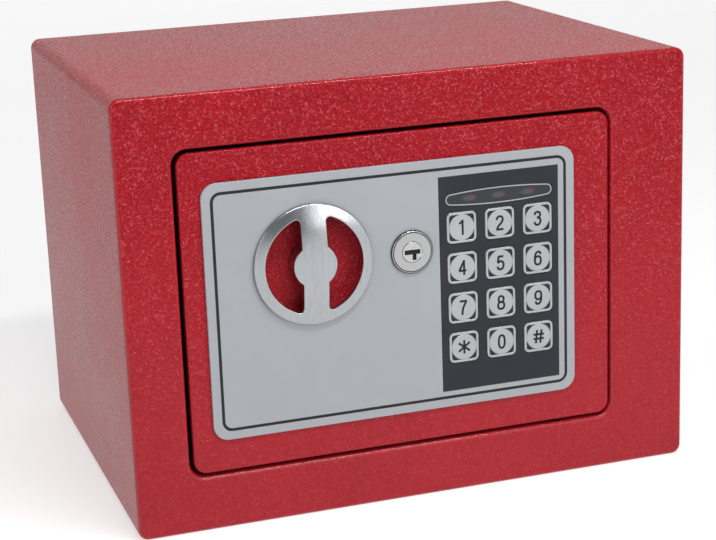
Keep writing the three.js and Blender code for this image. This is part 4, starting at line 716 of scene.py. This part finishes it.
def markPiece(name, mark, x, z, keypad):
    # strokes and loops of one mark on the front of its key; the loops are ovals with fuller corners, cosine and sine
    # to the power 0.85
    high, wide, face = keypad["markHeight"], keypad["stroke"], keypad["front"] - keypad["proud"]
    strokes = []
    for k, path in enumerate(marks.get(mark, [])):
        line = smoothPath(path) * high + [x, z]
        grid = strokeGrid(line, wide, face - 0.02 - 0.001 * k, face + 0.03)
        strokes.append(gridObject("stroke", grid, capEnds=True))
    t = np.linspace(0, 2 * np.pi, 48, endpoint=False)
    u, v = (np.sign(w) * np.abs(w) ** 0.85 for w in (np.cos(t), np.sin(t)))
    for k, (middleX, middleZ, rx, rz) in enumerate(loops.get(mark, [])):
        line = np.column_stack([middleX + rx * u, middleZ + rz * v]) * high + [x, z]
        grid = strokeGrid(line, wide, face - 0.018 - 0.001 * k, face + 0.03, True)
        strokes.append(gridObject("stroke", grid, closedRows=True))
    return joined(name, strokes)


for name, x, z in keyPlaces:
    rides, reach = f"key_{name}_body", keypad["key"] / 2 - keypad["rim"] - 0.01
    floor = keypad["front"] + keypad["pocket"]
    settle(keyCap(f"button_{name}", x, z, keypad), rides, "silver_plastic", silverPaint, f"key_{name}")
    pocket = slab(f"button_{name}_pocket", around(x, z, reach, reach), keypad["pocketCorner"], floor - 0.03,
                  floor + 0.05, 0.01, 0.01, 1, edgeColumns(4, (0.01, 0.99)))
    settle(pocket, rides, "dark_plastic", keypadPaint)
    settle(markPiece(f"button_{name}_mark", name, x, z, keypad), rides, "black_plastic", darkPrintAndShade)

# the lens and its line, as rows of inset and y
face, back, line = keypad["overlayFront"], lensShape["back"], 0.12 + lensShape["line"]
lens = [(0.35, face), (0.2, face + 0.01), (0.15, face + 0.08), (0.15, back - 0.05), (0.3, back)]
lens = gridObject("lens_window", lensRows(lensShape, lens), capEnds=True)
smoked = newMaterial("smoked lens", {"Coat Weight": 0.25, "Coat Roughness": 0.15, "IOR": 1.4}, 0.00002, lensLook,
                     lensShape)
settle(lens, "door", "smoked_lens", smoked, "indicator_lens")
rim = [(0.12, face + 0.02), (0.12, face - 0.03), (line, face - 0.03), (line, face + 0.02)]
rim = gridObject("lens_line", lensRows(lensShape, rim), closedRows=True)
settle(rim, "door", "silver_plastic", silverPaint)
print("keypad made")


# knob: a shallow dome with two finger openings between ring, bar and hub
knob = {"faceY": -90.1, "radius": 23.5, "rise": 2.6, "ringInner": 19.3, "bar": 10, "hub": 8.55, "corner": 1.6,
        "edge": 0.5, "lip": 0.3, "back": -86.3, "barBack": -85.7, "barReach": 20.3, "hubBack": -81.3, "eye": 13.9}


def domeY(knob, x, z):
    # height of the dome: a sphere cap that rises by `rise` over the knob's radius
    sphere = (knob["radius"] ** 2 + knob["rise"] ** 2) / (2 * knob["rise"])
    return knob["faceY"] + sphere - np.sqrt(sphere ** 2 - x ** 2 - z ** 2)


def openingOutline(knob, grown):
    # right finger opening, grown outwards: bar side, corner, ring arc, corner, bar side, hub arc
    bar, corner, ring = knob["bar"] / 2 - grown, knob["corner"] + grown, knob["ringInner"] + grown
    hub, cornerX = knob["hub"] - grown, knob["bar"] / 2 + knob["corner"]
    cornerZ = math.sqrt((knob["ringInner"] - knob["corner"]) ** 2 - cornerX ** 2)
    toRing = math.degrees(math.atan2(cornerZ, cornerX))
    waist = math.degrees(math.acos(bar / hub))
    waistZ = hub * math.sin(math.radians(waist))
    turns = ((180, toRing, 12), (toRing, -toRing, 60), (-toRing, -180, 12), (-waist, waist, 24))
    first, middle, second, hubTurn = (arc(*turn)[:-1] for turn in turns)
    up, down = np.linspace(waistZ, cornerZ, 13)[:-1], np.linspace(-cornerZ, -waistZ, 13)[:-1]
    side = np.full_like(up, bar)
    x = np.concatenate([side, cornerX + corner * np.cos(first), ring * np.cos(middle),
                        cornerX + corner * np.cos(second), side, hub * np.cos(hubTurn)])
    z = np.concatenate([up, cornerZ + corner * np.sin(first), ring * np.sin(middle),
                        -cornerZ + corner * np.sin(second), down, hub * np.sin(hubTurn)])
    return x, z


def knobBody(knob):
    # rays from the eye of an opening run from its rounded edge to the outline of the half disc, with y on the dome;
    # rows, in order: underside at the rim, underside at the opening, rounded lip and face; a strip over the rays that
    # meet the circle rounds the rim; the left half is the same points with x turned about the middle
    eye, radius, back, inner = knob["eye"], knob["radius"], knob["back"], knob["radius"] - knob["edge"]
    wideX, wideZ = openingOutline(knob, knob["lip"])
    angle = np.arctan2(wideZ, wideX - eye)
    dx, dz = np.cos(angle), np.sin(angle)
    toCircle = -eye * dx + np.sqrt((eye * dx) ** 2 - eye ** 2 + inner ** 2)
    toLine = np.where(dx < -1e-6, -eye / np.minimum(dx, -1e-6), 1e9)
    onCircle = toCircle < toLine
    reach = np.minimum(toCircle, toLine)
    edgeX, edgeZ = eye + reach * dx, reach * dz
    for end in (1, -1):
        nearest = np.argmin(np.abs(angle - math.atan2(end * inner, -eye)))
        edgeX[nearest], edgeZ[nearest], onCircle[nearest] = 0, end * inner, True
    edgeX[~onCircle] = 0
    outward = np.where(onCircle, radius / inner, 1)
    x, z = openingOutline(knob, 0)
    rows = [atY(edgeX * outward, back, edgeZ * outward), atY(x, back, z)]
    for amount, drop in reversed(roundOver(knob["lip"], 5)):
        x, z = openingOutline(knob, amount)
        rows.append(atY(x, domeY(knob, x, z) + drop, z))
    for share in np.linspace(0, 1, 12)[1:]:
        x, z = wideX + share * (edgeX - wideX), wideZ + share * (edgeZ - wideZ)
        rows.append(atY(x, domeY(knob, x, z), z))
    order = np.flatnonzero(onCircle)
    jump = np.flatnonzero(np.diff(order) > 1)
    order = np.roll(order, -(jump[0] + 1)) if len(jump) else order
    ux, uz = edgeX[order] / inner, edgeZ[order] / inner
    rim = [atY(ux * inner, domeY(knob, ux * inner, uz * inner), uz * inner)]
    for amount, drop in roundOver(knob["edge"])[1:]:
        r = radius - amount
        rim.append(atY(ux * r, domeY(knob, inner, 0.0) + drop, uz * r))
    rim.append(atY(ux * radius, back, uz * radius))
    points = np.vstack(rows + rim)
    faces = np.vstack([ringFaces(len(rows), len(edgeX), False, True),
                       ringFaces(len(rim), len(order), False, False) + len(rows) * len(edgeX)])
    faces = np.vstack([faces, faces + len(points)])
    return np.vstack([points, points * [-1, 1, 1]]) + [knobPlace[0], 0, knobPlace[1]], faces.tolist()


bar, hub, back = knob["bar"] / 2 - 0.02, knob["hub"], knob["back"]
hubProfile = [(hub - 0.02, back - 0.4), (hub - 0.02, knob["hubBack"] - 0.15), (hub - 0.3, knob["hubBack"])]
dial = [makeObject("dial", *knobBody(knob), 35),
        slab("bar", around(*knobPlace, bar, knob["barReach"]), 0.4, back - 0.3, knob["barBack"], 0.02, 0.2),
        turnedPiece("hub", hubProfile, *knobPlace)]
settle(joined("turning_knob", dial, 35), "knob_group", "satin_chrome", knobMetal, "knob")
print("knob made")


# key lock: bright face with one thin black ring in it and a black ring round its rim, both painted shade, and a plug
# with a stepped keyway
lock = {"front": -87.0, "rim": 8.25, "rimRound": 0.22, "rimBack": -86.1, "groove": 7.72, "grooveDepth": 0.4,
        "gasket": 8.55, "bore": 4.06, "barrel": 7.6, "back": -64.1, "plug": 4, "plugFront": -86.95, "plugBack": -63,
        "keyway": [-3.2, 3.2, -0.9, 0.9], "step": [0, 1.6, -3.2, -0.5], "keywayBack": -81}


def lockRing(name, profile):
    # closed profile of (radius, y) turned about the lock's middle
    return gridObject(name, turnedRows(profile, *lockPlace, 128), closedRows=True, sharpAngle=30)


y0, rim, rimRound, rimBack, groove, depth, outer, bore, barrel, back = list(lock.values())[:10]
profile = [(bore, -84.0), (bore, y0 + 0.2), (bore + 0.2, y0), (groove - 0.22, y0), (groove - 0.2, y0 + depth)]
profile += [(groove + 0.2, y0 + depth), (groove + 0.22, y0), (rim - 0.3, y0)]
profile += [(rim - i, y0 + s) for i, s in roundOver(rimRound, 5)]
profile += [(rim, rimBack), (barrel, rimBack), (barrel, back), (bore, back)]
settle(lockRing("lock_face", profile), "door", "bright_steel", lockMetal, "lock_barrel")
# painted shade: a black ring between the rim and the plate, and one in the groove, stand where the shade falls
gasket = [(rim + 0.01, rimBack), (rim + 0.01, y0 + 0.22), (outer - 0.06, y0 + 0.22), (outer, y0 + 0.3),
          (outer, rimBack)]
groove_shade = [(groove + side, y0 + sunk) for side, sunk in ((-0.19, 0.3), (-0.19, 0.05), (0.19, 0.05), (0.19, 0.3))]
rings = [lockRing("gasket", gasket), lockRing("groove_shade", groove_shade)]
settle(joined("lock_rim_shade", rings), "door", "black_plastic", blackPlastic)


def keyPlug(lock):
    # turned plug with a rounded edge, less a flat slot and the step below it
    edge = [(lock["plug"] - i, lock["plugFront"] + s) for i, s in roundOver(0.08, 3)]
    core = turnedPiece("lock_plug_face", edge + [(lock["plug"], lock["plugBack"])], *lockPlace, 72)
    return cut(core, boxCutter(moved(lock["keyway"], *lockPlace), 0.25, through[0], lock["keywayBack"]),
               boxCutter(moved(lock["step"], *lockPlace), 0.2, through[0], lock["keywayBack"]))


def keywayShadePiece(name, box, trims, corner, y0, y1):
    # black plate inside a part of the keyway as painted shade, each of its four sides moved by its own trim
    sides = [side + trim for side, trim in zip(moved(box, *lockPlace), trims)]
    return slab(name, sides, corner, y0, y1, 0.05, 0.05, 2)


settle(keyPlug(lock), "lock_core", "bright_steel", plugMetal, "lock_plug")
# painted shade: black plates fill the keyway where it is dark
keyway_shades = [keywayShadePiece("lock_keyway_shade", lock["keyway"], (0.02, -0.02, 0.02, -0.45), 0.2, -86.5, -81.2),
         keywayShadePiece("keyway_step_shade", lock["step"], (0.35, -0.02, 0.02, 0), 0.15, -86.3, -81.4)]
settle(joined("lock_keyway_shades", keyway_shades), "lock_core", "black_plastic", darkPrintAndShade)
print("lock made")


# further finishes for what shows from behind and inside
def feltLook(shader, place):
    # grey fibre mat: fine tangled fibres at two scales, with flecks
    fibres = noise(scaled(place, (1, 0.35, 1)), 2600.0, 3.0, 0.7, 1.5)
    height = fibres * 0.6 + noise(place, 320.0, 3.0, 0.6, 0.5) * 0.6
    color = mixColor(ramp(height, 0.45, 0.75), (0.045, 0.046, 0.05), (0.11, 0.11, 0.115))
    flecks = ramp(noise(place, 1500.0, 1.0, 0.5), 0.7, 0.74)
    return mixColor(flecks * 0.5, color, (0.28, 0.28, 0.28)), 0.95, height


def boardLook(shader, place):
    # lacquered board: square cells make copper tracks, broken up by blocks of noise, and solder dots
    squares = {"Vector": place, "Scale": 330, "Randomness": 0.35}
    cells = wire(addNode(place.tree, "TexVoronoi", squares, distance="CHEBYCHEV").outputs["Distance"])
    tracks, dots = ramp(cells, 0.36, 0.42), ramp(cells, 0.12, 0.08)
    blocks = ramp(noise(place, 90.0, 2.0), 0.45, 0.5)
    color = mixColor(tracks * blocks, (0.012, 0.085, 0.035), (0.03, 0.16, 0.06))
    color = mixColor(dots * blocks, color, (0.55, 0.55, 0.52))
    return color, noise(place, 200.0, 2.0) * 0.2 + 0.3, tracks + dots


def windingLook(shader, place, pitch):
    # lacquered copper wire: turns are waves along z, with painted shade where each meets the next
    x, y, z = split(place)
    turns = maths("SINE", (z + noise(place, 90.0, 1.0) * 0.0004) * (2 * math.pi / pitch))
    color = mixColor(ramp(turns, -1.0, 0.6), (0.2, 0.055, 0.02), (0.72, 0.3, 0.13))
    return color, noise(place, 300.0) * 0.15 + 0.22, turns


def sleeveLook(shader, place, left, right):
    # black film with a copper-coloured band at one end, and bare steel ends
    film, rough, height = mouldedLook(shader, place, (0.014, 0.014, 0.016), (0.06, 0.06, 0.06), 0.0006, 0.35, 0.32)
    x, y, z = split(place)
    band = x > (right - 13) * mm
    ends = maths("ADD", x < (left + 0.9) * mm, x > (right - 1.9) * mm, clamp=True)
    color = mixColor(ends, mixColor(band, film, (0.55, 0.24, 0.09)), (0.6, 0.6, 0.6))
    put(shader.inputs["Metallic"], maths("MAXIMUM", ends, band * 0.7))
    return color, rough, height


felt = newMaterial("grey felt", {"Sheen Weight": 0.4, "Sheen Roughness": 0.6}, 0.0005, feltLook)
circuitGreen = newMaterial("circuit board", {"Coat Weight": 0.4, "Coat Roughness": 0.2}, 0.00006, boardLook)
copper = newMaterial("copper winding", {"Metallic": 1.0, "Coat Weight": 0.5, "Coat Roughness": 0.12}, 0.0001,
                     windingLook, 0.0005)
sleeve = newMaterial("battery sleeve", {"Coat Weight": 0.6, "Coat Roughness": 0.1}, 0.00002, sleeveLook,
                     *cadBox("battery_1")[:2])


def smoothCopy(name, node, radius, segments):
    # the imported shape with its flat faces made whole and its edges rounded
    work = bmesh.new()
    work.from_mesh(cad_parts[node].data)
    bmesh.ops.remove_doubles(work, verts=work.verts, dist=2e-6)
    bmesh.ops.dissolve_limit(work, angle_limit=math.radians(1), verts=work.verts, edges=work.edges)
    mesh = bpy.data.meshes.new(name)
    work.to_mesh(mesh)
    work.free()
    mesh.polygons.foreach_set("use_smooth", np.ones(len(mesh.polygons), bool))
    piece = placed(name, mesh)
    soft = piece.modifiers.new("soft edges", "BEVEL")
    soft.width = radius * mm
    soft.segments = segments
    soft.limit_method = "ANGLE"
    soft.angle_limit = math.radians(38)
    soft.harden_normals = True
    return piece


# pieces inside and at the hinge. name: node, radius and steps of the rounded edges, body, slot and material
copies = {"inner_cover": ("door_cover", 0.4, 3, "door", "dark_plastic", coverPaint),
          "battery_cover": ("battery_lid", 0.25, 2, "battery_lid_body", "black_plastic", blackPlastic),
          "battery_tray": ("battery_holder", 0.2, 2, "door", "black_plastic", blackPlastic),
          "bolt_bracket": ("bolt_guide", 0.25, 2, "door", "zinc_steel", zincMetal),
          "floor_pad": ("floor_mat", 0.5, 3, "safe_body", "grey_felt", felt),
          "hinge_upper": ("hinge_block_upper", 0.3, 2, "door", "zinc_steel", hingeShadeSteel),
          "hinge_lower": ("hinge_block_lower", 0.3, 2, "door", "zinc_steel", hingeShadeSteel)}
for name, (node, radius, steps, *look) in copies.items():
    settle(smoothCopy(name, node, radius, steps), *look, node)


def turnedAlongX(profile, y, z):
    # profile points (radius, x) turned about the line along X through y and z: x, y + r cos a, z + r sin a
    return turnedRows(profile, y, z)[..., [1, 0, 2]]


# bolts: round bars with a turned chamfer and a thinner tail
bolt = {"radius": 7, "chamfer": 1.5, "tip": -87.9, "shoulder": -69.3, "spigot": 3, "end": -66.3, "y": -65,
        "z": {"bolt_lower": 55.6, "bolt_upper": 115.6}}
radius, chamfer, tip, shoulder, spigot, end = list(bolt.values())[:6]
profile = [(0.6, tip), (radius - chamfer - 0.3, tip), (radius - chamfer, tip + 0.08),
           (radius - 0.15, tip + chamfer - 0.1), (radius, tip + chamfer + 0.2), (radius, shoulder - 0.4),
           (radius - 0.4, shoulder), (spigot, shoulder), (spigot, end - 0.4), (spigot - 0.4, end)]
for node, z in bolt["z"].items():
    piece = gridObject(f"{node}_bar", turnedAlongX(profile, bolt["y"], z), capEnds=True, sharpAngle=30)
    settle(piece, "bolt_work", "bright_steel", steelMetal, node)

# cover screws and reset button, as profiles of radius and y
screw = {"shank": 1.6, "end": -63, "head": 3.4, "under": -53.2, "rimY": -52.6, "dome": 1.5, "rise": 1.2,
         "slot": 0.42, "slotReach": 2, "slotFloor": -52.3}
button = {"stem": 2, "end": -70.4, "flange": 4.4, "flangeFront": -55.6, "flangeBack": -54.6, "cap": 3.4, "edge": 0.6,
          "dish": 2.2, "dishFloor": 1.6, "dishDepth": 0.25}


def middleOf(node):
    left, right, bottom, top = cadBox(node)[:4]
    return (left + right) / 2, (bottom + top) / 2


def screwPiece(name, x, z):
    # turned button head and shank, less a cross of two slots
    shank, end, head, under, rimY, dome, rise, slot, reach, floor = screw.values()
    profile = [(shank, end), (shank, under), (head, under), (head, rimY)]
    profile += [(head - dome + dome * math.cos(a), rimY + rise * math.sin(a)) for a in arc(0, 90, 8)[1:]]
    slots = [boxCutter(around(x, z, *halves), 0.2, floor, -50) for halves in ((reach, slot), (slot, reach))]
    return cut(turnedPiece(name, profile, x, z, 48), *slots)


for k in range(1, 5):
    node = f"cover_screw_{k}"
    settle(screwPiece(f"{node}_head", *middleOf(node)), "door", "zinc_steel", zincMetal, node)

stem, end, flange, flangeFront, flangeBack, cap, edge, dish, dishFloor, dishDepth = button.values()
face = cadBox("reset_button")[5]
profile = [(stem, end), (stem, flangeFront), (flange, flangeFront), (flange, flangeBack), (cap, flangeBack)]
profile += [(cap - i, face - s) for i, s in reversed(roundOver(edge, 5))]
profile += [(dish, face), (dishFloor, face - dishDepth)]
piece = turnedPiece("reset_knob", profile, *middleOf("reset_button"), 64)
settle(piece, "reset_button_body", "reset_red", resetRed, "reset_button")
print("inside pieces made")


# every piece left as packed gets the finish of its slot, and the hinge parts a near-black one as painted shade
slotFinish = {"red_powder_coat": redPaint, "bright_steel": steelMetal, "zinc_steel": zincMetal,
              "satin_chrome": knobMetal, "silver_plastic": silverPaint, "dark_plastic": darkPlastic,
              "black_plastic": blackPlastic, "circuit_board": circuitGreen, "copper_winding": copper,
              "grey_felt": felt, "smoked_lens": keypadPaint, "led_red": ledRed, "reset_red": resetRed,
              "battery_wrap": sleeve}
for node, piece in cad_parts.items():
    for slot in piece.material_slots:
        name = slot.material.name.split(".")[0] if slot.material else ""
        if name in slotFinish:
            slot.material = hingeShadeSteel if node.startswith("hinge_") else slotFinish[name]
print("packed pieces finished")


# floor and light
stage = {"floorSize": 5.0, "glow": 0.56, "world": 0.25, "white": (1, 1, 1),
         "floor": ((0.55, 0.55, 0.55), (0.58, 0.58, 0.58))}


def floorLook(shader, place):
    return mixColor(noise(place, 6.0, 3.0), *stage["floor"]), 0.7, None


u = np.linspace(-0.5, 0.5, 9) * stage["floorSize"] / mm
floorGrid = np.stack(np.broadcast_arrays(u[None, :], u[:, None], np.zeros((9, 9))), -1)
floorPiece = gridObject("floor", floorGrid, closedColumns=False)
if floorPiece.data.polygons[0].normal.z < 0:
    floorPiece.data.flip_normals()
glow = {"Emission Color": stage["white"], "Emission Strength": stage["glow"]}
floorPiece.data.materials.append(newMaterial("studio floor", glow, 0, floorLook))

world = scene.world or bpy.data.worlds.new("studio")
scene.world = world
world.use_nodes = True
sky = world.node_tree
dim = sky.nodes["Background"]
put(dim.inputs["Color"], stage["white"])
put(dim.inputs["Strength"], stage["world"])
bright = addNode(sky, "Background", {"Color": stage["white"]})  # white behind the floor's edge, without more light
seen = addNode(sky, "LightPath", {}).outputs["Is Camera Ray"]
either = addNode(sky, "MixShader", {0: wire(seen), 1: wire(dim.outputs[0]), 2: wire(bright.outputs[0])})
put(sky.nodes["World Output"].inputs["Surface"], wire(either.outputs[0]))


def softLight(name, place, target, size, energy):
    lamp = bpy.data.lights.new(name, "AREA")
    lamp.shape = "RECTANGLE"
    lamp.size, lamp.size_y = size
    lamp.energy = energy
    holder = placed(name, lamp)
    holder.location = place
    holder.rotation_euler = (Vector(target) - Vector(place)).to_track_quat("-Z", "Y").to_euler()


# name: place, target, size and watts
lights = {"overhead": ((0.05, -0.36, 0.66), (0, -0.085, 0.1), (0.5, 0.035), 3.0),
          "key": ((0.75, -2.1, 1.25), (0, 0, 0.1), (2.4, 0.8), 21),
          "low": ((1.3, -2.1, 0.42), (0, 0, 0.1), (1.5, 0.55), 8),
          "backdrop": ((0.2, 1.75, 0.75), (0, 0, 0.3), (3.2, 1.3), 8.5),
          "left": ((-1.9, -0.9, 0.7), (0, 0, 0.1), (1.2, 1.2), 9)}
for name, values in lights.items():
    softLight(name, *values)
print("stage set")
